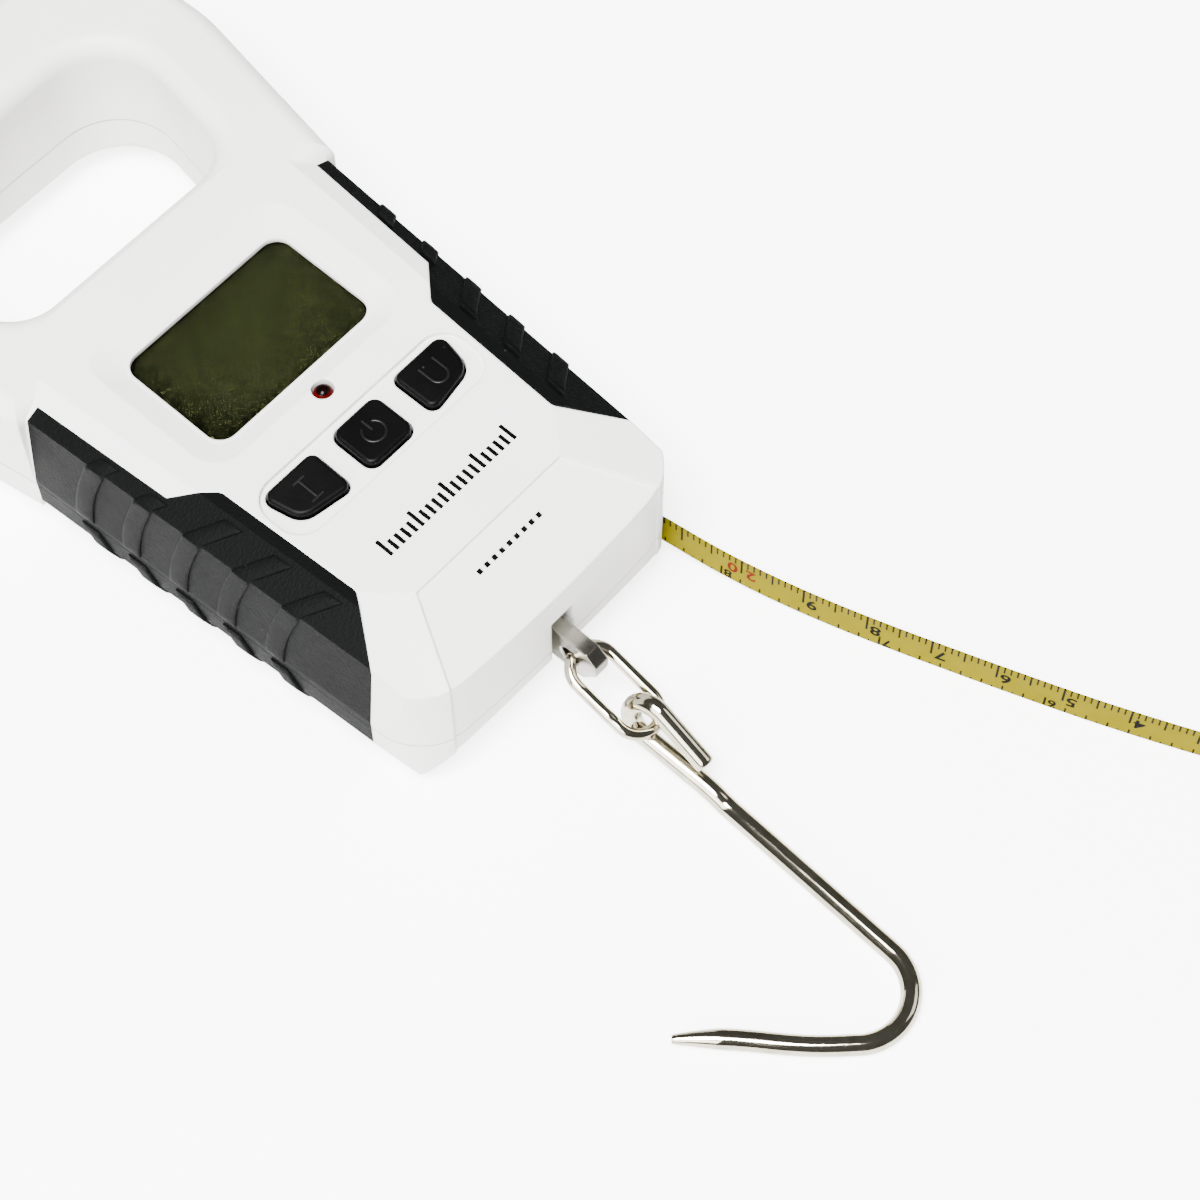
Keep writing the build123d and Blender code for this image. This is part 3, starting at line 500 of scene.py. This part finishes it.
def piece(name, vertices, faces, material):
    """A mesh piece at the origin, its place in its mesh."""
    mesh = bpy.data.meshes.new(name)
    mesh.from_pydata([tuple(v) for v in vertices], [], faces)
    mesh.update()
    mesh.materials.append(material)
    return in_scene(name, mesh)


def face_outwards(made):
    """Merge doubles and point the faces outwards."""
    work = bmesh.new()
    work.from_mesh(made.data)
    bmesh.ops.remove_doubles(work, verts=work.verts, dist=1e-7)
    bmesh.ops.recalc_face_normals(work, faces=work.faces)
    work.to_mesh(made.data)
    work.free()


def smooth_shade(made, sharp_angle=None):
    """Smooth shading; edges over an angle in degrees stay sharp."""
    for polygon in made.data.polygons:
        polygon.use_smooth = True
    if sharp_angle is not None:
        made.data.set_sharp_from_angle(angle=math.radians(sharp_angle))


def tube_faces(rings, sides, capped=True):
    """Faces of a skin over rings of vertices, its two ends capped."""
    faces = []
    for k in range(rings - 1):
        for m in range(sides):
            a, b = k * sides + m, k * sides + (m + 1) % sides
            faces.append((a, b, b + sides, a + sides))
    if capped:
        faces += [tuple(range(sides)), tuple((rings - 1) * sides + m for m in range(sides))]
    return faces


def nurbs_points(name, controls, steps):
    """Points along the smooth curve that these control points give."""
    curve = bpy.data.curves.new(name, "CURVE")
    curve.dimensions = "3D"
    spline = curve.splines.new("NURBS")
    spline.points.add(len(controls) - 1)
    for point, place in zip(spline.points, controls):
        point.co = (*place, 1.0)
    spline.order_u = 3
    spline.use_endpoint_u = True
    spline.resolution_u = steps
    return [v.co.copy() for v in curve_mesh(name, curve).vertices]


def copies_tree(name, source_type, labels):
    """Geometry Nodes tree that copies its Pattern to the points of a source node and gives it its Finish.

    The labels are the source's inputs with their kinds; its last output is its points.
    """
    tree = bpy.data.node_groups.new(name, "GeometryNodeTree")
    for label, kind in (("Pattern", "Object"), ("Finish", "Material"), *labels):
        tree.interface.new_socket(label, in_out="INPUT", socket_type="NodeSocket" + kind)
    tree.interface.new_socket("Geometry", in_out="OUTPUT", socket_type="NodeSocketGeometry")
    enter = tree.nodes.new("NodeGroupInput")
    source = tree.nodes.new(source_type)
    fetch = tree.nodes.new("GeometryNodeObjectInfo")
    place = tree.nodes.new("GeometryNodeInstanceOnPoints")
    real = tree.nodes.new("GeometryNodeRealizeInstances")
    paint = tree.nodes.new("GeometryNodeSetMaterial")
    leave = tree.nodes.new("NodeGroupOutput")
    links = tree.links
    for label, _kind in labels:
        links.new(enter.outputs[label], source.inputs[label])
    links.new(enter.outputs["Pattern"], fetch.inputs["Object"])
    links.new(source.outputs[-1], place.inputs["Points"])
    links.new(fetch.outputs["Geometry"], place.inputs["Instance"])
    links.new(place.outputs["Instances"], real.inputs["Geometry"])
    links.new(real.outputs["Geometry"], paint.inputs["Geometry"])
    links.new(enter.outputs["Finish"], paint.inputs["Material"])
    links.new(paint.outputs["Geometry"], leave.inputs["Geometry"])
    return tree


def plain_from_tree(name, tree, inputs):
    """Runs a Geometry Nodes tree and keeps its result as a plain mesh piece."""
    holder = in_scene(name, bpy.data.meshes.new(name + " start"))
    modifier = holder.modifiers.new("build", "NODES")
    modifier.node_group = tree
    for item in tree.interface.items_tree:
        if item.name in inputs:
            modifier[item.identifier] = inputs[item.name]
    bpy.context.view_layer.update()
    mesh = evaluated_mesh(holder)
    holder.modifiers.clear()
    holder.data = mesh
    return holder


# ---------------------------------------------------------------- tape
tape_controls = [(22.8, -25.6, 7.1), (25.2, -38.8, 7.1), (28.0, -52.0, 4.6), (32.4, -67.5, 3.35),
                 (39.2, -88.0, 3.35), (48.2, -113.0, 3.35), (61.5, -142.5, 3.35), (80.5, -171.0, 3.35),
                 (104.0, -194.5, 3.35), (136.0, -215.5, 3.35)]
TAPE_WIDTH, TAPE_THICK, TAPE_DISH = 6.5, 0.32, 0.12
INK_LIFT = 0.015                    # how far the figures stand off the tape
tape_line = [p * MM for p in nurbs_points("tape line", tape_controls, 24)]


def run_lengths(points):
    """Length from the first point to each point."""
    runs = [0.0]
    for before, here in zip(points, points[1:]):
        runs.append(runs[-1] + (here - before).length)
    return runs


tape_runs = run_lengths(tape_line)
tape_length = tape_runs[-1]


def tape_side(index):
    """Unit vector out of the printed side at a point of the tape's line."""
    before = tape_line[max(index - 1, 0)]
    after = tape_line[min(index + 1, len(tape_line) - 1)]
    run = after - before
    run.z = 0
    run.normalize()
    return Vector((run.y, -run.x, 0))


def tape_dish(share):
    """Offset of the dished tape from its middle plane; share runs from -0.5 to 0.5 across its width."""
    return TAPE_DISH * MM * ((2 * share) ** 2 - 0.5)


def make_tape():
    """Steel ribbon standing on its edge, slightly dished across its width, with the scale in its UV map."""
    rows = 7
    vertices, scale = [], []
    for index, point in enumerate(tape_line):
        side = tape_side(index)
        for sign in (1, -1):
            for row in range(rows)[::sign]:
                up = row / (rows - 1) - 0.5
                out = sign * TAPE_THICK / 2 * MM + tape_dish(up)
                vertices.append(point + side * out + Vector((0, 0, up * TAPE_WIDTH * MM)))
                scale.append(((tape_length - tape_runs[index]) / MM, (up + 0.5) * TAPE_WIDTH))
    ribbon = piece("tape_ribbon", vertices, tube_faces(len(tape_line), 2 * rows), tape_yellow)
    layer = ribbon.data.uv_layers.new(name="scale")
    for loop in ribbon.data.loops:
        layer.data[loop.index].uv = scale[loop.vertex_index]
    face_outwards(ribbon)
    smooth_shade(ribbon, 50)
    return ribbon


def point_on_tape(from_zero):
    """Place, printed side and direction towards zero at a distance in mm from the zero mark."""
    target = tape_length - from_zero * MM
    index = max(k for k, run in enumerate(tape_runs) if run <= target)
    index = min(index, len(tape_line) - 2)
    share = (target - tape_runs[index]) / (tape_runs[index + 1] - tape_runs[index])
    place = tape_line[index].lerp(tape_line[index + 1], share)
    towards_zero = (tape_line[index + 1] - tape_line[index]).normalized()
    side = tape_side(index)
    return place, side, towards_zero


def figure_mesh(text, height, name):
    """Outline figure as a flat filled mesh, lower left corner at zero, in mm."""
    curve = bpy.data.curves.new(name, "FONT")
    curve.body = text
    curve.size = height * 1.38
    curve.offset = height * 0.035
    curve.resolution_u = 3
    mesh = curve_mesh(name, curve)
    low_x = min(v.co.x for v in mesh.vertices)
    low_y = min(v.co.y for v in mesh.vertices)
    for vertex in mesh.vertices:
        vertex.co.x -= low_x
        vertex.co.y -= low_y
    return mesh


def tape_figures(name, marks, height, base, material):
    """Figures printed upside down beside their marks; base is the height of their lower end."""
    vertices, faces = [], []
    for from_zero, parts in marks:
        for text, offset in parts:
            mesh = figure_mesh(text, height, name)
            start = len(vertices)
            width = max(v.co.x for v in mesh.vertices)
            for vertex in mesh.vertices:
                along = from_zero - offset - width + vertex.co.x
                place, side, towards = point_on_tape(along)
                up = (base + height - vertex.co.y - TAPE_WIDTH / 2) * MM
                out = (TAPE_THICK / 2 + INK_LIFT) * MM + tape_dish(up / (TAPE_WIDTH * MM))
                vertices.append(place + side * out + Vector((0, 0, up)))
            faces += [tuple(start + k for k in polygon.vertices) for polygon in mesh.polygons]
    return piece(name, vertices, faces, material)


ribbon = make_tape()
centimetres = [(10.0 * k, [(str(k % 10), 0.55)]) for k in range(1, 20) if k != 10]
figures = tape_figures("tape_centimetre_figures", centimetres, 2.5, 2.15, print_ink)
tens = tape_figures("tape_ten_figures", [(100.0 * k, [(str(k), 0.7), ("0", -2.3)]) for k in (2, 1)],
                    2.5, 2.3, red_ink)
inches = tape_figures("tape_inch_figures", [(25.4 * k, [(str(k), 0.45)]) for k in range(1, 9)],
                      1.9, 0.2, print_ink)
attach(ribbon, "root")
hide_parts("tape")


def make_end_tab():
    """Moulded grip on the tape's end: waisted, with finger ridges on both faces and rounded all round."""
    low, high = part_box("tape_end_tab")
    half_tall = (high.z - low.z) / 2
    middle = Vector((tape_line[-1].x, tape_line[-1].y, (low.z + high.z) / 2))
    side, ahead = tape_side(len(tape_line) - 1), (tape_line[-1] - tape_line[-2]).normalized()
    back, front, thick, end_round = -3.0, 10.0, 1.7, 1.1
    ridge_from, ridge_to, ridge_pitch, ridge_depth = 2.4, 8.9, 1.3, 0.22
    stations, sides = 66, 32
    vertices = []
    for k in range(stations + 1):
        u = back + (front - back) * k / stations
        share = min(min(u - back, front - u) / end_round, 1.0)
        close = max(math.sqrt(max(0.0, 1 - (1 - share) ** 2)), 0.25)
        ridge = 0.0
        if ridge_from < u < ridge_to:
            ridge = ridge_depth * (0.5 - 0.5 * math.cos(2 * math.pi * (u - ridge_from) / ridge_pitch))
        waist = 0.35 * math.exp(-((u - 0.6) / 1.3) ** 2)
        half = (thick - ridge - waist) * close
        tall = half_tall * (0.86 + 0.14 * close)
        for m in range(sides):
            turn = 2 * math.pi * (m + 0.5) / sides
            c, w = math.cos(turn), math.sin(turn)
            across = math.copysign(abs(c) ** 0.42, c) * half * MM
            up = math.copysign(abs(w) ** 0.3, w) * tall
            vertices.append(middle + ahead * (u * MM) + side * across + Vector((0, 0, up)))
    tab = piece("moulded_end_tab", vertices, tube_faces(stations + 1, sides), dark_plastic)
    face_outwards(tab)
    smooth_shade(tab, 55)
    return tab


end_tab = make_end_tab()
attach(end_tab, "root")
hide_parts("tape_end_tab")
with_tape = [figures, tens, inches]
for made in with_tape:
    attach(made, "root")


# ---------------------------------------------------------------- ribs on the soft grips
SLOPE = 0.063                       # half width gained for each millimetre towards the handle
RIB_WIDTH, RIB_HEIGHT, RIB_PITCH = 3.3, 0.42, 9.05


def rib_path(start_share, low_z, high_z):
    """Outline that a rib follows: distance out, lean along the body and height, between two heights."""
    path = []
    for k in range(13):
        share = start_share + (1 - start_share) * k / 12
        path.append((23.3 + 5.3 * share, -4.2 * (1 - share), 30.0 - 2.4 * share))
    for k in range(1, 17):
        z = 27.6 - 14.6 * k / 16
        path.append((28.6 + 1.6 * k / 16, 3.2 * math.sin(math.pi / 2 * k / 16), z))
    for k in range(1, 9):
        path.append((30.2, 3.2 - 2.6 * (k / 8) ** 1.5, 13.0 - 5.5 * k / 8))
    for k in range(1, 5):
        path.append((30.2 - 1.3 * k / 4, 0.6 - 0.5 * k / 4, 7.5 - 3.5 * k / 4))
    return [p for p in path if low_z <= p[2] <= high_z]


def make_rib(name, path, sign, y):
    """One raised band across the grip, round-shouldered and closed at its ends."""
    across = [(-0.5, -0.12), (-0.5, 0.55), (-0.46, 0.86), (-0.38, 1.0), (0.0, 1.04), (0.38, 1.0),
              (0.46, 0.86), (0.5, 0.55), (0.5, -0.12)]
    vertices = []
    for k, (out, lean, z) in enumerate(path):
        before, after = path[max(k - 1, 0)], path[min(k + 1, len(path) - 1)]
        run = Vector((after[0] - before[0], 0, after[2] - before[2])).normalized()
        normal = Vector((-run.z, 0, run.x))
        if normal.x < 0:
            normal = -normal
        rise = RIB_HEIGHT * (0.55 if k in (0, len(path) - 1) else 1.0)
        for share, up in across:
            lift = normal * up * rise
            along = y + lean + share * RIB_WIDTH
            vertices.append(Vector((sign * (out + SLOPE * along + lift.x), along, z + lift.z)) * MM)
    rib = piece(name, vertices, tube_faces(len(path), len(across)), grip_black)
    face_outwards(rib)
    return rib


rib_tree = copies_tree("rib row", "GeometryNodeMeshLine", (("Count", "Int"), ("Offset", "Vector")))
for side, sign in (("left", -1), ("right", 1)):
    for layer, low_z, high_z in (("front", 12.4, 31.0), ("rear", 3.5, 11.6)):
        for kind, start_share, y, count in (("long", 0.13, -19.65, 3), ("short", 0.66, 7.55, 2)):
            rib = make_rib("rib pattern", rib_path(start_share, low_z, high_z), sign, y)
            step = (sign * SLOPE * RIB_PITCH * MM, RIB_PITCH * MM, 0.0)
            row = plain_from_tree(f"{side}_{layer}_{kind}_ribs", rib_tree,
                                  {"Pattern": rib, "Count": count, "Offset": step, "Finish": grip_black})
            bpy.data.objects.remove(rib)
            smooth_shade(row, 40)
            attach(row, "root")


# ---------------------------------------------------------------- link and hook
def wire_piece(name, points, radii, material, closed=False, sides=24):
    """Round wire along points, its radius given at each point, with slightly rounded ends."""
    count = len(points)
    vertices = []
    normal = None
    for k, point in enumerate(points):
        before = points[(k - 1) % count] if closed else points[max(k - 1, 0)]
        after = points[(k + 1) % count] if closed else points[min(k + 1, count - 1)]
        run = (after - before).normalized()
        if normal is None:
            normal = run.orthogonal().normalized()
        normal = (normal - run * normal.dot(run)).normalized()
        other = run.cross(normal)
        for m in range(sides):
            turn = 2 * math.pi * m / sides
            vertices.append(point + (normal * math.cos(turn) + other * math.sin(turn)) * radii[k])
    faces = tube_faces(count, sides, capped=not closed)
    if closed:
        shift = min(range(sides), key=lambda m: (vertices[-sides] - vertices[m]).length)
        last = (count - 1) * sides
        faces += [(last + m, last + (m + 1) % sides, (m + 1 + shift) % sides, (m + shift) % sides)
                  for m in range(sides)]
    wire = piece(name, [v * MM for v in vertices], faces, material)
    face_outwards(wire)
    smooth_shade(wire, 50)
    return wire


def smooth_line(points, steps):
    """Smooth curve through points, evenly divided between them."""
    line = []
    for k in range(len(points) - 1):
        a, b, c, d = (points[min(max(n, 0), len(points) - 1)] for n in range(k - 1, k + 3))
        for m in range(steps):
            t = m / steps
            line.append(0.5 * ((2 * b) + (c - a) * t + (2 * a - 5 * b + 4 * c - d) * t * t
                               + (3 * b - a - 3 * c + d) * t ** 3))
    line.append(points[-1])
    return line


LINK_TILT, LINK_PITCH, LINK_HALF, LINK_WIRE = math.radians(17.4), 15.3, 3.55, 0.9
link_start = Vector((0.0, -47.4, 12.0))
link_down = Vector((0.0, -math.cos(LINK_TILT), -math.sin(LINK_TILT)))


def on_link(u, v):
    """Point of the link: u along it from the pull eye, v across it."""
    return link_start + link_down * u + Vector((1, 0, 0)) * v


def make_link():
    """Oval welded link; its weld is the small swelling on one side."""
    straight = LINK_PITCH - 2 * LINK_HALF
    points, radii = [], []
    for start, sign in ((LINK_HALF, -1), (LINK_PITCH - LINK_HALF, 1)):
        for k in range(32):
            turn = math.pi * k / 31
            out = sign * LINK_HALF
            points.append(on_link(start + out * math.sin(turn), out * math.cos(turn)))
        for k in range(1, 16):
            points.append(on_link(start - sign * straight * k / 16, -sign * LINK_HALF))
    for k, point in enumerate(points):
        away = (point - on_link(LINK_PITCH * 0.62, -LINK_HALF)).length
        radii.append(LINK_WIRE * (1 + 0.07 * math.exp(-(away / 0.5) ** 2)))
    return wire_piece("oval_link", points, radii, plated_steel, closed=True, sides=20)


EYE_SLOPE, EYE_ROLL = math.radians(16.0), math.radians(72.0)
EYE_REACH, EYE_OFFSET, EYE_R, HOOK_WIRE, BEND_R = 12.2, 1.55, 3.2, 1.5, 7.9
BEND_START, BEND_END = -2.7, -140.0  # angles of the round bend, in degrees
TIP_TAPER = 6.6                     # length over which the tip gets thinner
HOOK_LIE = 1.55                     # height of the lying wire's middle
link_end = on_link(LINK_PITCH, 0)
eye_centre = Vector((0.35, link_end.y + 1.1, link_end.z))
eye_along = Vector((0, math.cos(EYE_SLOPE), math.sin(EYE_SLOPE)))
eye_up = Vector((0, -math.sin(EYE_SLOPE), math.cos(EYE_SLOPE)))
eye_across = Vector((1, 0, 0)) * math.cos(EYE_ROLL) + eye_up * math.sin(EYE_ROLL)


def in_eye(u, v):
    """Point of the hook's eye: u along the shank towards the link, v across the eye."""
    return eye_centre + eye_along * (u - EYE_REACH) + eye_across * (v - EYE_OFFSET)


def make_hook():
    """One bent wire: cut leg, eye, shank, round bend and an arm with a slight wave and a blunt tip."""
    lean = math.atan(EYE_OFFSET / EYE_REACH)
    reach = math.hypot(EYE_REACH, EYE_OFFSET)
    tangent = math.sqrt(reach ** 2 - EYE_R ** 2)
    spread = math.atan(EYE_R / tangent)
    low_u, low_v = tangent * math.cos(lean - spread), tangent * math.sin(lean - spread)
    high_v = 2 * EYE_OFFSET - low_v
    cut_u = 2.2                     # where the leg is cut off
    leg = [cut_u + (low_u - cut_u) * k / 6 for k in range(6)]
    points = [in_eye(u, 2 * EYE_OFFSET - low_v * u / low_u) for u in leg]
    start = math.atan2(high_v - EYE_OFFSET, low_u - EYE_REACH)
    for k in range(25):
        turn = start - (2 * start) * k / 24
        points.append(in_eye(EYE_REACH + EYE_R * math.cos(turn), EYE_OFFSET + EYE_R * math.sin(turn)))
    points += [in_eye(low_u * (1 - k / 5), low_v * (1 - k / 5)) for k in range(1, 5)]
    corner = in_eye(0, 0)
    shank_low = Vector((-0.13, corner.y - 3.9, HOOK_LIE))
    bend_middle = Vector((-9.5, -107.0, HOOK_LIE))

    def on_bend(angle):
        turn = math.radians(angle)
        return bend_middle + Vector((math.cos(turn), math.sin(turn), 0)) * BEND_R

    points += [corner.lerp(in_eye(low_u, low_v), 0.06), corner.lerp(shank_low, 0.5) + Vector((0, 0.2, 0.12))]
    shank_foot = on_bend(BEND_START)
    points += [shank_low.lerp(shank_foot, k / 8) for k in range(8)]
    points += [on_bend(BEND_START + (BEND_END - BEND_START) * k / 14) for k in range(15)]
    arm_start, tip = on_bend(BEND_END), Vector((-31.5, -93.0, HOOK_LIE))
    side = Vector((-(tip - arm_start).y, (tip - arm_start).x, 0)).normalized()
    for k in range(1, 15):
        share = k / 14
        wave = 0.35 * math.sin(share * math.pi * 2.0) * (1 - share * 0.4)
        points.append(arm_start.lerp(tip, share) + side * wave)
    line = smooth_line(points, 5)
    radii = []
    for k, point in enumerate(line):
        to_tip = (point - tip).length if k > len(line) * 0.6 else 99.0
        to_cut = (point - line[0]).length if k < len(line) * 0.1 else 99.0
        radius = HOOK_WIRE if to_tip > TIP_TAPER else 0.6 + 0.9 * (to_tip / TIP_TAPER) ** 0.8
        radii.append(min(radius, HOOK_WIRE * min(1.0, 0.86 + to_cut * 0.5)))
    return wire_piece("bent_hook", line, radii, plated_steel, sides=28)


link = make_link()
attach(link, "link")
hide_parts("chain_link")
bent_hook = make_hook()
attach(bent_hook, "hook")
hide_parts("hook")


# ---------------------------------------------------------------- housing screws
def make_screw():
    """One pan head screw pointing up, with a cross recess in its head and a thread on its shank."""
    low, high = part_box("housing_screws")
    head_r, head_tall, shank_r, thread, thread_pitch = 2.35, 1.9, 0.95, 0.15, 0.8
    head_low, head_high, tip = low.z / MM, low.z / MM + head_tall, high.z / MM
    arm, reach, recess = 0.33, 1.35, 1.2
    cross = [(arm, arm), (arm, reach), (-arm, reach), (-arm, arm), (-reach, arm), (-reach, -arm),
             (-arm, -arm), (-arm, -reach), (arm, -reach), (arm, -arm), (reach, -arm), (reach, arm)]
    work = bmesh.new()

    def ring(points, z):
        return [work.verts.new(Vector((x, y, z)) * MM) for x, y in points]

    def round_points(radius, count=24):
        return [(radius * math.cos(2 * math.pi * k / count), radius * math.sin(2 * math.pi * k / count))
                for k in range(count)]

    def join(lower, upper):
        for k in range(len(lower)):
            m = (k + 1) % len(lower)
            work.faces.new((lower[k], lower[m], upper[m], upper[k]))

    rim = ring(round_points(head_r - 0.75), head_low)
    mouth_ring = ring(cross, head_low)
    for loop in (rim, mouth_ring):
        for k in range(len(loop)):
            work.edges.new((loop[k], loop[(k + 1) % len(loop)]))
    bmesh.ops.triangle_fill(work, use_beauty=True, edges=work.edges[:])
    floor_ring = ring([(0.72 * x, 0.72 * y) for x, y in cross], head_low + recess)
    join(mouth_ring, floor_ring)
    work.faces.new(floor_ring)
    profile = [(head_r - 0.28, head_low + 0.2), (head_r, head_low + 0.75), (head_r, head_high - 0.1),
               (head_r - 0.1, head_high), (shank_r, head_high)]
    for k in range(int((tip - head_high - 1.5) / thread_pitch)):
        z = head_high + 0.5 + thread_pitch * k
        profile += [(shank_r, z), (shank_r + thread, z + 0.2), (shank_r + thread, z + 0.3),
                    (shank_r, z + 0.5)]
    profile += [(shank_r, tip - 0.5), (shank_r - 0.35, tip)]
    last = rim
    for radius, z in profile:
        here = ring(round_points(radius), z)
        join(last, here)
        last = here
    work.faces.new(last)
    bmesh.ops.recalc_face_normals(work, faces=work.faces)
    mesh = bpy.data.meshes.new("screw pattern")
    work.to_mesh(mesh)
    work.free()
    return in_scene("screw pattern", mesh)


def screw_centres():
    """Middle of each screw, from the separate solids of the screws' node."""
    work = bmesh.new()
    work.from_mesh(nodes["housing_screws"].data)
    bmesh.ops.remove_doubles(work, verts=work.verts, dist=1e-6)
    left, centres = set(work.verts), []
    while left:
        group, edge = set(), [left.pop()]
        while edge:
            vertex = edge.pop()
            group.add(vertex)
            for line in vertex.link_edges:
                other = line.other_vert(vertex)
                if other in left:
                    left.discard(other)
                    edge.append(other)
        xs, ys = [v.co.x for v in group], [v.co.y for v in group]
        centres.append(Vector(((min(xs) + max(xs)) / 2, (min(ys) + max(ys)) / 2, 0)))
    work.free()
    return sorted(centres, key=lambda c: (round(c.y, 5), c.x))


screw_pattern = make_screw()
places_mesh = bpy.data.meshes.new("screw places")
places_mesh.from_pydata([tuple(c) for c in screw_centres()], [], [])
screw_places = in_scene("screw places", places_mesh)
screw_tree = copies_tree("screw set", "GeometryNodeObjectInfo", (("Object", "Object"),))
screws = plain_from_tree("cross_head_screws", screw_tree,
                         {"Pattern": screw_pattern, "Object": screw_places, "Finish": plain_steel})
bpy.data.objects.remove(screw_pattern)
bpy.data.objects.remove(screw_places)
smooth_shade(screws, 35)
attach(screws, "root")
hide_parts("housing_screws")


# ---------------------------------------------------------------- signs on the keys
def raised_line(name, points, half, low_z, high_z, material):
    """A raised line of even width along points on a key's top, with round ends."""
    curve = bpy.data.curves.new(name, "CURVE")
    curve.dimensions = "3D"
    spline = curve.splines.new("POLY")
    spline.points.add(len(points) - 1)
    for target, (x, y) in zip(spline.points, points):
        target.co = (x * MM, y * MM, low_z * MM, 1.0)
    curve.bevel_depth = half * MM
    curve.bevel_resolution = 2
    curve.use_fill_caps = True
    mesh = curve_mesh(name, curve)
    squeeze = (high_z - low_z) / half
    for vertex in mesh.vertices:
        vertex.co.z = low_z * MM + (vertex.co.z - low_z * MM) * squeeze
    mesh.materials.clear()
    mesh.materials.append(material)
    made = in_scene(name, mesh)
    smooth_shade(made)
    return made


def arc(x, y, radius, start, end, count=20):
    """Points along an arc, angles in degrees."""
    turns = [math.radians(start + (end - start) * k / count) for k in range(count + 1)]
    return [(x + radius * math.cos(turn), y + radius * math.sin(turn)) for turn in turns]


SIGN_HALF, SIGN_SUNK, SIGN_RISE = 0.24, 0.02, 0.12
key_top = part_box("key_middle")[1].z / MM
signs = [("key_left", "bar", [(-12.9, -10.9), (-12.9, -7.1)]),
         ("key_left", "bar_foot", [(-14.0, -10.9), (-11.8, -10.9)]),
         ("key_left", "bar_head", [(-14.0, -7.1), (-11.8, -7.1)]),
         ("key_middle", "ring", arc(0.0, -9.3, 1.75, 125, 415)),
         ("key_middle", "pointer", [(0.0, -9.0), (0.0, -6.9)]),
         ("key_right", "cup",
          [(11.5, -7.0), (11.5, -9.6), *arc(12.9, -9.6, 1.4, 180, 360, 12), (14.3, -7.0)])]
for body, label, points in signs:
    sign_piece = raised_line(f"{body}_{label}", points, SIGN_HALF, key_top - SIGN_SUNK, key_top + SIGN_RISE,
                             glyph_rubber)
    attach(sign_piece, body)


# ---------------------------------------------------------------- printed marks on the front
def printed_row(name, count, pitch, size, long_every, y, z, tilt=0.0):
    """Row of plain printed ticks across the front."""
    vertices, faces = [], []
    for k in range(count):
        x = (k - (count - 1) / 2) * pitch
        tall = size[1] * (1.5 if long_every and k % long_every == 0 else 1.0)
        base = len(vertices)
        for dx, dy in ((-0.5, 0), (0.5, 0), (0.5, 1), (-0.5, 1)):
            px, py = x + dx * size[0], y + dy * tall
            vertices.append(Vector((px, py, z + tilt * (py - y))) * MM)
        faces.append(tuple(range(base, base + 4)))
    return piece(name, vertices, faces, print_ink)


front_marks = printed_row("front_tick_row", 21, 1.25, (0.62, 2.1), 5, -24.8, 30.015)
panel_marks = printed_row("panel_dot_row", 9, 1.5, (0.75, 0.75), 0, -35.4, 28.73, 0.24)
for made in (front_marks, panel_marks):
    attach(made, "root")


# ---------------------------------------------------------------- floor and light
def make_stage():
    """Pale floor and soft lamps; floor and sky are brighter to the camera than as light."""
    bpy.ops.mesh.primitive_plane_add(size=80.0, location=(0, 0, -0.0002))
    floor = bpy.context.object
    floor.name = "floor"
    material, tree, shader, coordinate = new_material("pale floor")
    cloud = noise(tree, coordinate, 3.0, 2.0)
    base = mix_colour(tree, cloud, (0.93, 0.93, 0.93), (0.945, 0.945, 0.945))
    tree.links.new(base, shader.inputs["Base Color"])
    shader.inputs["Roughness"].default_value = 0.9
    shader.inputs["Specular IOR Level"].default_value = 0.1
    seen = tree.nodes.new("ShaderNodeLightPath").outputs["Is Camera Ray"]
    glow = mix_colour(tree, seen, (0.0, 0.0, 0.0), (1.0, 1.0, 1.0))
    tree.links.new(glow, shader.inputs["Emission Color"])
    shader.inputs["Emission Strength"].default_value = 4.0
    floor.data.materials.append(material)
    world = bpy.data.worlds.new("studio")
    scene.world = world
    world.use_nodes = True
    sky = world.node_tree.nodes["Background"]
    sky.inputs["Color"].default_value = (1.0, 1.0, 1.0, 1.0)
    direct = world.node_tree.nodes.new("ShaderNodeLightPath").outputs["Is Camera Ray"]
    strength = map_range(world.node_tree, direct, 0.0, 1.0, 0.12, 5.0)
    world.node_tree.links.new(strength, sky.inputs["Strength"])
    aim = Vector((0.0, -0.04, 0.0))
    for name, place, size, power in (("left soft box", (-1.05, -0.28, 0.70), 0.8, 24.0),
                                     ("top soft box", (-0.42, -0.14, 1.28), 0.6, 98.0),
                                     ("hook side soft box", (0.85, -0.75, 0.80), 0.6, 3.0)):
        lamp = in_scene(name, bpy.data.lights.new(name, "AREA"))
        lamp.data.size = size
        lamp.data.energy = power
        lamp.location = place
        lamp.rotation_euler = (Vector(place) - aim).to_track_quat("Z", "Y").to_euler()


make_stage()
